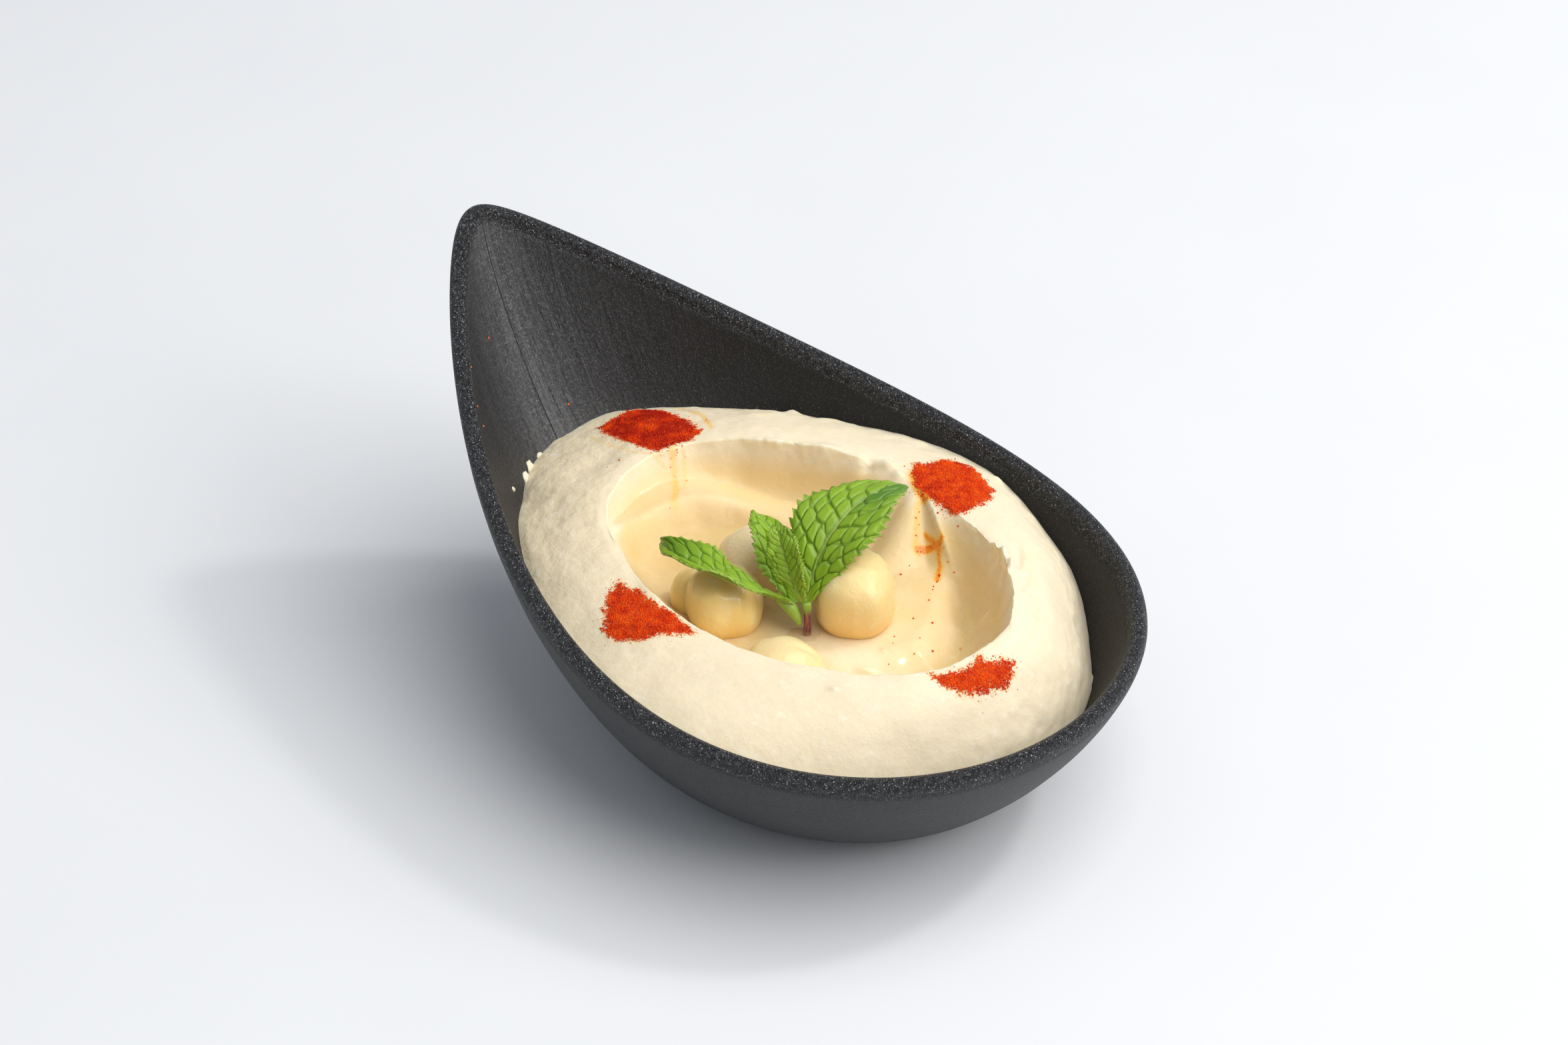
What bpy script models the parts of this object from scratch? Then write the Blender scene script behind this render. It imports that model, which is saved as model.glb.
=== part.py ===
"""Hummus in a drop-shaped bowl: a spooned mound with a well, a pool of oil in its trough and one
on its floor, whole chickpeas and a mint sprig. Metres, +Z up. The bowl's foot rests on z = 0, its
tip points to -X and its round end to +X. The origin is below the middle of the rim's length."""

import math

import bmesh
import bpy
import numpy as np
from mathutils import Vector

MM = 0.001
GAP = 0.3 * MM                  # clearance between two pieces that touch
TURNS = 56                      # columns round the bowl and round the mound

# Bowl: the rim is a drop in plan, level at the round end and swept up to the tip
RIM_LENGTH = 135.0 * MM         # tip to round end, along the middle of the wall
RIM_HALF_WIDTH = 55.2 * MM      # before the taper to the tip
TIP_BLUNTNESS = 0.042           # 0 is a needle tip
TIP_TAPER = 0.358               # how soon the sides close in on the tip
RIM_END_HEIGHT = 28.0 * MM
RIM_STEADY_RISE = 3.67 * MM
RIM_TIP_RISE = 33.55 * MM       # the part of the rise that grows with the cube of the way to the tip
WALL = 2.9 * MM
FLOOR = 3.0 * MM
FOOT_X = 11.1 * MM
FOOT_HALF_LENGTH = 34.4 * MM
FOOT_HALF_WIDTH = 26.3 * MM
FOOT_INSET = 1.2 * MM           # inner foot line inside the outer one
END_SECTION = 1.33              # power of the wall's section: 1 is straight, 2 is an ellipse
TIP_SECTION = 1.39

# Mound: set out by the turn about the well, 0 degrees towards the tip and 90 at the back
WELL_X = 10.7 * MM
WELL_Y = 0.3 * MM
LIP_HALF_LENGTH = 38.1 * MM
LIP_HALF_WIDTH = 26.4 * MM
LIP_HEIGHT = 33.4 * MM
EDGE_HEIGHT = 30.4 * MM         # where the mound meets the bowl
END_DROP = 12.6 * MM            # how far that line sinks round the round end
EDGE_DIPS = (
    # hollows of that line: turn, width (degrees), depth (mm)
    (2.0, 20.0, 2.2), (112.0, 13.0, 2.3), (300.0, 50.0, 1.2), (319.0, 8.0, 1.2), (338.0, 14.0, 1.4),
)
WELL_FLOOR = 25.7 * MM
BASIN_X = -9.0 * MM
BASIN_Y = -3.0 * MM
BASIN_HALF_LENGTH = 11.0 * MM
BASIN_HALF_WIDTH = 12.0 * MM
BASIN_DEPTH = 2.3 * MM          # low part of the floor towards the tip
TROUGH_HEIGHT = 21.8 * MM       # spoon's trough round the round end
RIDGE_HEIGHT = 25.8 * MM
LEDGE_HEIGHT = 29.4 * MM        # shallow trough on the tip side
TROUGH_POOL_LEVEL = 23.9 * MM
BASIN_POOL_LEVEL = 25.6 * MM
POOL_X = -11.0 * MM             # oval that the oil on the floor keeps inside
POOL_HALF_LENGTH = 12.5 * MM
POOL_HALF_WIDTH = 13.5 * MM
END_SPIRAL_START = 89.0         # degrees: the ridge leaves the lip here and winds inwards
TIP_SPIRAL_START = 313.0
END_RIDGE = (0.53, 27.0)        # share of the way to the lip it winds down to, and its pace (degrees)
TIP_RIDGE = (0.45, 92.0)
END_STROKE = (0.56, 0.40, 0.48) # shares taken by the wall, by the bank and by the slope to the floor
TIP_STROKE = (0.42, 0.50, 0.16)
SHOULDER_FOOT = 0.52            # where the long slope beside the stroke's start meets the floor

STEM_X = 18.6 * MM
STEM_Y = -8.0 * MM
STEM_RADIUS = 0.65 * MM
LEAF_THICKNESS = 0.4 * MM
LEAF_END = 0.45 * MM            # half width of a leaf at its ends


def material(name, colour, roughness):
    made = bpy.data.materials.new(name)
    made.use_nodes = True
    shader = made.node_tree.nodes["Principled BSDF"]
    shader.inputs["Base Color"].default_value = (*colour, 1.0)
    shader.inputs["Roughness"].default_value = roughness
    shader.inputs["Metallic"].default_value = 0.0
    return made


def ease(x):
    """0 before 0, 1 after 1, level at both ends."""
    x = np.clip(x, 0.0, 1.0)
    return x * x * (3.0 - 2.0 * x)


def away(turn, at):
    """Degrees from one turn to another, the short way round."""
    return (turn - at + 180.0) % 360.0 - 180.0


def swell(turn, at, width):
    """A bump of height 1 at one turn, dying away over width degrees."""
    return np.exp(-((away(turn, at) / width) ** 2))


# Bowl ---------------------------------------------------------------------------------------

def rim_line(turn):
    """Middle of the wall at the rim, and the outward normal in plan, for an array of turns."""
    def plan(t):
        half = np.where(t > math.pi, 2.0 * math.pi - t, t)
        taper = (TIP_BLUNTNESS + (1.0 - TIP_BLUNTNESS) * np.sin(half / 2.0) ** 2) ** TIP_TAPER
        return -RIM_LENGTH / 2.0 * np.cos(t), RIM_HALF_WIDTH * np.sin(t) * taper

    t = np.radians(turn)
    x, y = plan(t)
    step = 0.01
    x_on, y_on = plan((t + step) % (2.0 * math.pi))
    x_off, y_off = plan((t - step) % (2.0 * math.pi))
    normal = np.stack([y_off - y_on, x_on - x_off], axis=-1)
    normal /= np.linalg.norm(normal, axis=-1, keepdims=True)
    way = 0.5 - x / RIM_LENGTH
    z = RIM_END_HEIGHT + RIM_STEADY_RISE * way + RIM_TIP_RISE * way**3
    return np.stack([x, y], axis=-1), z, normal


def wall_point(turn, share, side, clear=0.0):
    """A point of the bowl's wall. share runs from 0 at the foot to 1 at the rim as a part of the
    height; side is 1 for the outer face and -1 for the inner one, clear is kept off it inwards."""
    rim, rim_z, normal = rim_line(turn)
    t = np.radians(turn)
    tip = ((1.0 + np.cos(t)) / 2.0) ** 1.5
    power = END_SECTION + (TIP_SECTION - END_SECTION) * tip
    inset = 0.0 if side > 0 else FOOT_INSET
    base = 0.0 if side > 0 else FLOOR
    foot = np.stack(
        [
            FOOT_X - (FOOT_HALF_LENGTH - inset - clear) * np.cos(t),
            (FOOT_HALF_WIDTH - inset - clear) * np.sin(t),
        ],
        axis=-1,
    )
    top = rim + normal * (side * WALL / 2.0 - clear)
    out = (1.0 - (1.0 - share) ** power) ** (1.0 / power)
    plan = foot + (top - foot) * out[..., None]
    return np.concatenate([plan, (base + clear + (rim_z - base) * share)[..., None]], axis=-1)


def section_shares(rows, turn):
    """Height shares that space rows evenly along the curved wall, foot first."""
    angle = np.linspace(0.0, math.pi / 2.0, rows)[:, None]
    return (1.0 - np.cos(angle) ** (2.0 / END_SECTION)) * np.ones_like(turn)[None]


def shell(name, rings, look):
    """A closed solid from rings of points: the first ring and the last are each filled."""
    rows, columns, _ = rings.shape
    points = rings.reshape(-1, 3)
    faces = []
    for row in range(rows - 1):
        for column in range(columns):
            nxt = (column + 1) % columns
            here, there = row * columns, (row + 1) * columns
            faces.append((here + column, here + nxt, there + nxt))
            faces.append((here + column, there + nxt, there + column))
    first = len(points)
    points = np.vstack([points, rings[0].mean(axis=0), rings[-1].mean(axis=0)])
    for column in range(columns):
        nxt = (column + 1) % columns
        faces.append((first, nxt, column))
        last = (rows - 1) * columns
        faces.append((first + 1, last + column, last + nxt))
    return solid(name, points, faces, look)


def solid(name, points, faces, look):
    mesh = bpy.data.meshes.new(name)
    mesh.from_pydata([tuple(p) for p in points], [], faces)
    work = bmesh.new()
    work.from_mesh(mesh)
    bmesh.ops.recalc_face_normals(work, faces=work.faces)
    work.to_mesh(mesh)
    work.free()
    mesh.shade_smooth()
    mesh.materials.append(look)
    made = bpy.data.objects.new(name, mesh)
    bpy.context.scene.collection.objects.link(made)
    return made


def bowl(look):
    turn = np.arange(TURNS) * 360.0 / TURNS
    rim, rim_z, normal = rim_line(turn)
    outer = wall_point(turn[None] + np.zeros((12, 1)), section_shares(12, turn), 1)
    inner = wall_point(turn[None] + np.zeros((11, 1)), section_shares(11, turn), -1)
    bead = []
    for angle in np.radians([36.0, 72.0, 108.0, 144.0]):
        reach = WALL / 2.0 * math.cos(angle)
        lift = WALL / 2.0 * math.sin(angle)
        bead.append(np.concatenate([rim + normal * reach, (rim_z + lift)[:, None]], axis=1))
    rings = np.concatenate([outer, np.array(bead), inner[::-1]])
    return shell("bowl", rings, look)


# Mound --------------------------------------------------------------------------------------

def lip_plan(turn):
    """The lip of the well: an oval, pushed in at the back and out where the spoon left."""
    t = np.radians(turn)
    reach = 1.0 - 0.050 * swell(turn, 48, 17) + 0.066 * swell(turn, 80, 10)
    reach += 0.006 * swell(turn, 350, 14) - 0.018 * swell(turn, 303, 16) - 0.014 * swell(turn, 180, 16)
    x = WELL_X - LIP_HALF_LENGTH * reach * np.cos(t)
    y = WELL_Y + LIP_HALF_WIDTH * reach * np.sin(t)
    return np.stack([x, y], axis=-1)


def lip_height(turn):
    return LIP_HEIGHT + 1.3 * MM * swell(turn, 48, 26) - 0.6 * MM * swell(turn, 84, 12)


def edge_height(turn):
    """Where the mound meets the bowl: highest at the back, lower round the round end."""
    sunk = ease((turn - 98.0) / 46.0) * (1.0 - ease((turn - 196.0) / 60.0))
    height = EDGE_HEIGHT - END_DROP * sunk
    for at, width, depth in EDGE_DIPS:
        height = height - depth * MM * swell(turn, at, width)
    return height


def spiral(turn, start, inner, pace):
    """Share of the way to the lip of a ridge that leaves the lip and winds down to inner."""
    gone = (turn - start) % 360.0
    return inner + (1.0 - inner) * np.exp(-gone / pace)


def floor_height(plan):
    """The well's floor, with a low basin towards the tip."""
    off_x = (plan[..., 0] - BASIN_X) / BASIN_HALF_LENGTH
    off_y = (plan[..., 1] - BASIN_Y) / BASIN_HALF_WIDTH
    return WELL_FLOOR - BASIN_DEPTH * np.exp(-(off_x**2) - off_y**2)


def stepped(share, ridge, trough_z, ridge_z, lip_z, floor_z, wall_share, bank_share, slope_share):
    """Height across the well, going in: crisp lip, steep wall, trough, bank, ridge, slope, floor."""
    across = np.maximum(1.0 - ridge, 1e-6)
    foot = np.maximum(ridge - slope_share, 0.02)
    up = np.clip((share - 1.0 + wall_share * across) / (wall_share * across), 0.0, 1.0)
    wall = trough_z + (lip_z - trough_z) * up**1.8
    bank_width = np.minimum(bank_share * across + 0.06, across)
    bank = ridge_z + (trough_z - ridge_z) * ease((share - ridge) / bank_width)
    slope = floor_z + (ridge_z - floor_z) * ease((share - foot) / (ridge - foot))
    height = np.where(share > 1.0 - wall_share * across, wall, bank)
    return np.where(share > ridge, height, slope)


def well_height(turn, share, plan):
    """Two spoon strokes: each leaves the lip, winds inwards and has its trough outside its ridge."""
    lip_z = lip_height(turn)
    floor_z = floor_height(plan)
    gone = (turn - END_SPIRAL_START) % 360.0
    drawn = ease((gone - 5.0) / 40.0)
    sloped = ease(gone / 22.0)
    left = 1.0 - ease((gone - 120.0) / 60.0)
    ridge = spiral(turn, END_SPIRAL_START, *END_RIDGE)
    ridge_z = lip_z + (RIDGE_HEIGHT - lip_z) * sloped
    ridge_z = floor_z + (ridge_z - floor_z) * (1.0 - ease((gone - 50.0) / 60.0))
    trough_z = lip_z + (TROUGH_HEIGHT - lip_z) * drawn
    trough_z = floor_z + (trough_z - floor_z) * left
    end_stroke = stepped(share, ridge, trough_z, ridge_z, lip_z, floor_z, *END_STROKE)
    # Just before the stroke starts, the steep wall turns into its long slope.
    shoulder = floor_z + (lip_z - floor_z) * ease((share - SHOULDER_FOOT) / (1.0 - SHOULDER_FOOT))
    end_stroke = end_stroke + (shoulder - end_stroke) * ease((gone - 333.0) / 24.0)

    gone = (turn - TIP_SPIRAL_START) % 360.0
    ridge = spiral(turn, TIP_SPIRAL_START, *TIP_RIDGE)
    drawn = ease(gone / 26.0)
    dug = ease((gone - 50.0) / 50.0)
    ridge_z = lip_z + (LEDGE_HEIGHT + 0.5 * MM - lip_z) * drawn
    ridge_z += (floor_z + 1.2 * MM - ridge_z) * dug
    trough_z = lip_z + (LEDGE_HEIGHT - lip_z) * drawn
    trough_z += (floor_z - trough_z) * dug
    tip_stroke = stepped(share, ridge, trough_z, ridge_z, lip_z, floor_z, *TIP_STROKE)
    in_tip = ease(gone / 10.0) * (1.0 - ease((gone - 108.0) / 20.0))
    return end_stroke + (tip_stroke - end_stroke) * in_tip


def mound_point(turn, share):
    """A point of the mound's top. share is 0 in the middle of the well, 1 on its lip and 2 where
    the mound meets the bowl."""
    lip = lip_plan(turn)
    edge = edge_height(turn)
    _, rim_z, _ = rim_line(turn)
    contact = wall_point(turn, (edge - FLOOR) / (rim_z - FLOOR), -1, GAP)
    centre = np.array([WELL_X, WELL_Y])
    inside = np.minimum(share, 1.0)[..., None]
    beyond = np.clip(share - 1.0, 0.0, 1.0)
    plan = centre + (lip - centre) * inside + (contact[..., :2] - lip) * beyond[..., None]
    lip_z = lip_height(turn)
    fullness = 2.3 - 0.5 * swell(turn, 0, 40) - 0.3 * swell(turn, 160, 40)
    flank = lip_z + (contact[..., 2] - lip_z) * beyond**fullness
    groove = swell(turn, 150, 24) * np.exp(-(((beyond - 0.24) / 0.09) ** 2))
    flank = flank - 0.8 * MM * groove
    height = np.where(share > 1.0, flank, well_height(turn, share, plan))
    return np.concatenate([plan, height[..., None]], axis=-1)


def mound_rings(raised):
    """Rings of the mound from the middle of the well, over the lip and down the bowl's wall."""
    turn = np.arange(TURNS) * 360.0 / TURNS
    well = [0.10, 0.25, 0.38, 0.48, 0.56, 0.63, 0.70, 0.77, 0.84, 0.90, 0.95, 0.98]
    flank = [1.0, 1.07, 1.15, 1.24, 1.34, 1.5, 1.68, 1.83, 1.93, 2.0]
    rings = [mound_point(turn, np.full(TURNS, share)) for share in well + flank]
    _, rim_z, _ = rim_line(turn)
    edge_share = (edge_height(turn) - FLOOR) / (rim_z - FLOOR)
    for part in (0.75, 0.50, 0.30, 0.14, 0.04, 0.0):
        rings.append(wall_point(turn, edge_share * part, -1, GAP))
    rings = np.array(rings)
    rings[: len(well) + len(flank) - 1, :, 2] += raised
    return rings


def carve(target, cutter):
    """Cuts a solid away from another with an exact Boolean."""
    cut = target.modifiers.new("cut_" + cutter.name, "BOOLEAN")
    cut.operation = "DIFFERENCE"
    cut.solver = "EXACT"
    cut.object = cutter
    cutter.hide_render = True
    cutter.display_type = "WIRE"


# Chickpeas ----------------------------------------------------------------------------------

PEAS = {
    # name: centre (mm), half sizes (mm), turn (degrees), lean (degrees)
    "chickpea_right": ((21.0, 0.5, 29.9), (7.6, 6.6, 7.7), 128.0, 10.0),
    "chickpea_left": ((6.2, -14.2, 28.5), (6.3, 6.3, 6.0), 150.0, -10.0),
    "chickpea_back": ((1.3, -2.0, 27.3), (6.6, 6.2, 6.2), 80.0, 8.0),
    "chickpea_front": ((23.2, -18.3, 25.7), (6.8, 6.0, 5.6), 50.0, 4.0),
    "chickpea_half": ((0.0, -13.5, 26.5), (5.2, 4.8, 4.8), 30.0, 0.0),
}


def pea_points(rings, columns):
    """A unit chickpea: a ball, flattened on two sides, with a cleft and a small beak at +X."""
    points = []
    for ring in range(rings + 1):
        latitude = math.pi * ring / rings
        for column in range(columns):
            longitude = 2.0 * math.pi * column / columns
            direction = Vector(
                (
                    math.cos(latitude),
                    math.sin(latitude) * math.cos(longitude),
                    math.sin(latitude) * math.sin(longitude),
                )
            )
            beak = 0.10 * math.exp(-((latitude / 0.42) ** 2))
            cleft = 0.05 * math.exp(-((direction.y / 0.16) ** 2)) * ease(1.2 * direction.x)
            square = 0.05 * (abs(direction.y) ** 3 + abs(direction.z) ** 3 - 0.6)
            points.append(direction * (1.0 + beak - float(cleft) - square))
    return points


def pea(name, look, grown=0.0):
    centre, half, turn, lean = PEAS[name]
    rings, columns = 8, 13
    sizes = [size * MM + grown for size in half]
    points = [Vector((p.x * sizes[0], p.y * sizes[1], p.z * sizes[2])) for p in pea_points(rings, columns)]
    around, across = math.radians(turn), math.radians(lean)
    placed = []
    for point in points:
        x = point.x * math.cos(across) - point.z * math.sin(across)
        z = point.x * math.sin(across) + point.z * math.cos(across)
        placed.append(
            (
                centre[0] * MM + x * math.cos(around) - point.y * math.sin(around),
                centre[1] * MM + x * math.sin(around) + point.y * math.cos(around),
                centre[2] * MM + z,
            )
        )
    grid = np.array(placed).reshape(rings + 1, columns, 3)
    return shell(name + ("_cut" if grown else ""), grid[1:-1], look)


# Oil ----------------------------------------------------------------------------------------

def pool(name, rings, look, cutters):
    """Oil: a block from below the hummus up to one level, cut round what stands in it."""
    made = shell(name, np.array(rings), look)
    for cutter in cutters:
        carve(made, cutter)


def trough_block():
    """Sections of a half ring between the ridge and the lip, round the round end."""
    bottom = TROUGH_HEIGHT - 2.0 * MM
    sections = []
    for turn in np.arange(96.0, 277.0, 6.0):
        inner, outer = mound_point(np.full(2, turn), np.array([0.45, 0.985]))[:, :2]
        corners = ((inner, bottom), (outer, bottom), (outer, TROUGH_POOL_LEVEL), (inner, TROUGH_POOL_LEVEL))
        sections.append([(*plan, z) for plan, z in corners])
    return sections


def basin_block():
    """An upright oval cylinder over the low part of the floor."""
    bottom = WELL_FLOOR - BASIN_DEPTH - 2.0 * MM
    turn = np.radians(np.arange(0.0, 360.0, 10.0))
    x = POOL_X + POOL_HALF_LENGTH * np.cos(turn)
    y = BASIN_Y + POOL_HALF_WIDTH * np.sin(turn)
    return [np.stack([x, y, np.full(len(turn), z)], axis=-1) for z in (bottom, BASIN_POOL_LEVEL)]


# Mint ---------------------------------------------------------------------------------------

def tube(name, path, radius, look, sides=10):
    """A rod along a path of points, with flat ends."""
    path = np.array(path)
    rings = []
    for index, point in enumerate(path):
        before, after = path[max(index - 1, 0)], path[min(index + 1, len(path) - 1)]
        along = Vector(after - before).normalized()
        across = along.orthogonal().normalized()
        other = along.cross(across)
        ring = []
        for step in range(sides):
            angle = 2.0 * math.pi * step / sides
            ring.append(Vector(point) + (across * math.cos(angle) + other * math.sin(angle)) * radius)
        rings.append([tuple(p) for p in ring])
    return shell(name, np.array(rings), look)


def stem(look, grown=0.0):
    path = []
    for share in (0.0, 0.25, 0.5, 0.75, 1.0):
        sway = 0.25 * MM * math.sin(math.pi * share)
        path.append((STEM_X + sway, STEM_Y, (24.2 + 6.6 * share) * MM - grown * (share == 0.0)))
    return tube("mint_stem" + ("_cut" if grown else ""), path, STEM_RADIUS + grown, look)


LEAVES = {
    # name: base, middle and tip of the rib (mm), the side its left blade goes to, how far each
    # blade folds towards the leaf's face (degrees), width of each blade (mm), outline's two powers
    "mint_leaf_large": (
        ((18.5, -7.6, 31.5), (16.8, 1.5, 41.5), (16.6, 16.4, 42.7)),
        (-0.87, -0.41, -0.23), (12.0, 6.0), (8.9, 7.8), (1.14, 0.85),
    ),
    "mint_leaf_back": (
        ((17.2, -7.9, 31.1), (9.4, -5.3, 37.7), (3.3, -3.9, 39.7)),
        (-0.71, -0.49, 0.48), (10.0, 4.0), (5.2, 4.9), (0.77, 0.79),
    ),
    "mint_leaf_small": (
        ((19.0, -9.1, 32.7), (15.4, -9.2, 39.4), (11.5, -7.6, 42.8)),
        (-0.94, -0.30, 0.09), (16.0, 23.0), (3.0, 3.5), (0.99, 0.82),
    ),
    "mint_leaf_left": (
        ((17.1, -9.6, 31.6), (8.3, -18.3, 37.3), (-6.8, -16.4, 35.3)),
        (0.83, -0.43, 0.11), (33.0, 17.0), (2.5, 5.9), (1.3, 1.02),
    ),
}


def through(start, middle, end, share):
    """The quadratic curve that is at start, middle and end for shares 0, 0.5 and 1."""
    bend = middle * 2.0 - (start + end) * 0.5
    return start * (1 - share) ** 2 + bend * 2.0 * share * (1 - share) + end * share**2


def leaf(name, look, rows=9, columns=6):
    """A blade each side of a rib, folded towards the face and narrow at both ends."""
    rib, side, folds, widths, powers = LEAVES[name]
    start, middle, end = [Vector(p) * MM for p in rib]
    points = []
    for row in range(rows + 1):
        share = row / rows
        at = through(start, middle, end, share)
        step = 0.01
        along = through(start, middle, end, share + step) - through(start, middle, end, share - step)
        along.normalize()
        left = (Vector(side) - along * along.dot(Vector(side))).normalized()
        face = along.cross(left).normalized()
        spread = math.sin(math.pi * 0.98 * share ** powers[0]) ** powers[1]
        for column in range(columns + 1):
            way = 2.0 * column / columns - 1.0
            blade = 0 if way < 0.0 else 1
            width = LEAF_END + (widths[blade] * MM - LEAF_END) * spread
            fold = math.radians(folds[blade])
            out = left * (-way * math.cos(fold)) + face * (abs(way) * math.sin(fold))
            points.append(tuple(at + out * width))
    faces = []
    for row in range(rows):
        for column in range(columns):
            here = row * (columns + 1) + column
            faces.append((here, here + 1, here + columns + 2, here + columns + 1))
    made = solid(name, points, faces, look)
    thick = made.modifiers.new("thickness", "SOLIDIFY")
    thick.thickness = LEAF_THICKNESS
    thick.offset = 0.0
    return made


# --------------------------------------------------------------------------------------------

def clear_scene():
    for item in list(bpy.data.objects):
        bpy.data.objects.remove(item, do_unlink=True)


def build():
    clear_scene()
    black = material("black_melamine", (0.012, 0.012, 0.013), 0.35)
    cream = material("hummus", (0.80, 0.68, 0.46), 0.45)
    chickpea = material("chickpea", (0.72, 0.46, 0.16), 0.4)
    oil = material("olive_oil", (0.62, 0.47, 0.12), 0.06)
    green = material("mint_leaf", (0.14, 0.32, 0.03), 0.4)
    purple = material("mint_stem", (0.16, 0.06, 0.04), 0.4)

    bowl(black)
    peas = {name: pea(name, chickpea) for name in PEAS}
    cutters = {name: pea(name, chickpea, GAP) for name in PEAS}
    carve(peas["chickpea_half"], cutters["chickpea_left"])
    stem(purple)

    mound = shell("hummus", mound_rings(0.0), cream)
    raised = shell("hummus_raised", mound_rings(GAP), cream)
    for cutter in [*cutters.values(), stem(purple, GAP)]:
        carve(mound, cutter)
    pool("oil_trough", trough_block(), oil, [raised, *cutters.values()])
    pool("oil_basin", basin_block(), oil, [raised, *cutters.values()])
    for name in LEAVES:
        leaf(name, green)


build()
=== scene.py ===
# Hummus in a drop-shaped black bowl: the looks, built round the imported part. Metres, +Z up.
# The bowl's tip points to -X. "turn" goes round the well in degrees, 0 at the tip, 90 at the back.
import math

import bpy
import numpy as np
from mathutils import Matrix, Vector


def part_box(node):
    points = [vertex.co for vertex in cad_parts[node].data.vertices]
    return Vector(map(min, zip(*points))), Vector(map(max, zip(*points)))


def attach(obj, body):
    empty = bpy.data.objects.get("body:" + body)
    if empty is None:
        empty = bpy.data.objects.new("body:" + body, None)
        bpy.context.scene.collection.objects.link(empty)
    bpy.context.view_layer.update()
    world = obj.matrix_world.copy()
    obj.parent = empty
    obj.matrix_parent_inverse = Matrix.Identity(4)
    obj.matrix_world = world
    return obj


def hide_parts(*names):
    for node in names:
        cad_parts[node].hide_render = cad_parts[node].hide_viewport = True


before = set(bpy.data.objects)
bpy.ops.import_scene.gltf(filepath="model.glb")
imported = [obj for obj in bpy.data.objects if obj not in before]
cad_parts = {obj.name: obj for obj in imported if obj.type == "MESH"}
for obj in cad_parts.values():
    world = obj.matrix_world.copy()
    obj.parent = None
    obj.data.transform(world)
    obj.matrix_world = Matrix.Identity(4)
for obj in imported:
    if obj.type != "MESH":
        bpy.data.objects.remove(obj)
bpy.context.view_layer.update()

mm = 0.001
bowlBox = [np.array(corner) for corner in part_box("bowl")]
pieces = []                                     # every finished piece, for the report at the end


# Camera, light and floor: a low table view from the front right

view = {
    "azimuth": 44.448,                          # degrees round from the front
    "elevation": 35.0,
    "distance": 0.5399,
    "aim": (-0.0062, 0.0123, 0.025),
    "lens": 73.47,
    "sensor": 36.0,
}


def makeCamera():
    around, above = math.radians(view["azimuth"]), math.radians(view["elevation"])
    right = np.array([math.cos(around), math.sin(around), 0.0])
    back = np.array([math.sin(around) * math.cos(above), -math.cos(around) * math.cos(above), math.sin(above)])
    up = np.cross(back, right)
    data = bpy.data.cameras.new("tableView")
    data.lens = view["lens"]
    data.sensor_width = view["sensor"]
    data.clip_start = 0.01
    camera = bpy.data.objects.new("tableView", data)
    place = np.eye(4)
    place[:3, 0], place[:3, 1], place[:3, 2] = right, up, back
    place[:3, 3] = np.array(view["aim"]) + back * view["distance"]
    camera.matrix_world = Matrix(place.tolist())
    bpy.context.scene.collection.objects.link(camera)
    bpy.context.scene.camera = camera


lights = {
    # name: place (m), what it points at (m), size (m), watts
    "broadKey": ((0.66, 0.42, 1.42), (0.0, 0.0, 0.03), 2.1, 26.5),
    "sideLight": ((1.15, 0.1, 0.75), (0.0, 0.0, 0.03), 0.7, 2.8),
    "glintLight": ((0.40, 0.80, 1.15), (0.0, 0.0, 0.03), 0.16, 3.2),
}
skyStrength = 0.36


def makeLights():
    for name, (place, target, size, watts) in lights.items():
        data = bpy.data.lights.new(name, "AREA")
        data.shape = "DISK"
        data.size = size
        data.energy = watts
        lamp = bpy.data.objects.new(name, data)
        back = np.array(place) - np.array(target)
        back /= np.linalg.norm(back)
        right = np.cross([0.0, 0.0, 1.0], back)
        right /= np.linalg.norm(right)
        matrix = np.eye(4)
        matrix[:3, 0], matrix[:3, 1], matrix[:3, 2] = right, np.cross(back, right), back
        matrix[:3, 3] = place
        lamp.matrix_world = Matrix(matrix.tolist())
        bpy.context.scene.collection.objects.link(lamp)
    world = bpy.data.worlds.new("softRoom")
    world.use_nodes = True
    world.node_tree.nodes["Background"].inputs["Color"].default_value = (0.86, 0.92, 1.0, 1.0)
    world.node_tree.nodes["Background"].inputs["Strength"].default_value = skyStrength
    bpy.context.scene.world = world


# Shader maths: a wire is a socket that can be added, multiplied and so on

class Wire:
    def __init__(self, paint, socket):
        self.paint = paint
        self.socket = socket

    def maths(self, operation, first, second=0.0):
        return self.paint.node("ShaderNodeMath", {"operation": operation}, {0: first, 1: second})

    def __add__(self, other):
        return self.maths("ADD", self, other)

    def __radd__(self, other):
        return self.maths("ADD", other, self)

    def __sub__(self, other):
        return self.maths("SUBTRACT", self, other)

    def __rsub__(self, other):
        return self.maths("SUBTRACT", other, self)

    def __mul__(self, other):
        return self.maths("MULTIPLY", self, other)

    def __rmul__(self, other):
        return self.maths("MULTIPLY", other, self)

    def __truediv__(self, other):
        return self.maths("DIVIDE", self, other)

    def __pow__(self, other):
        return self.maths("POWER", self, other)

    def clipped(self):
        return self.paint.node("ShaderNodeClamp", {}, {"Value": self})

    def between(self, low, high):
        settings = {"interpolation_type": "SMOOTHSTEP"}
        return self.paint.node("ShaderNodeMapRange", settings, {"Value": self, "From Min": low, "From Max": high})


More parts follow.
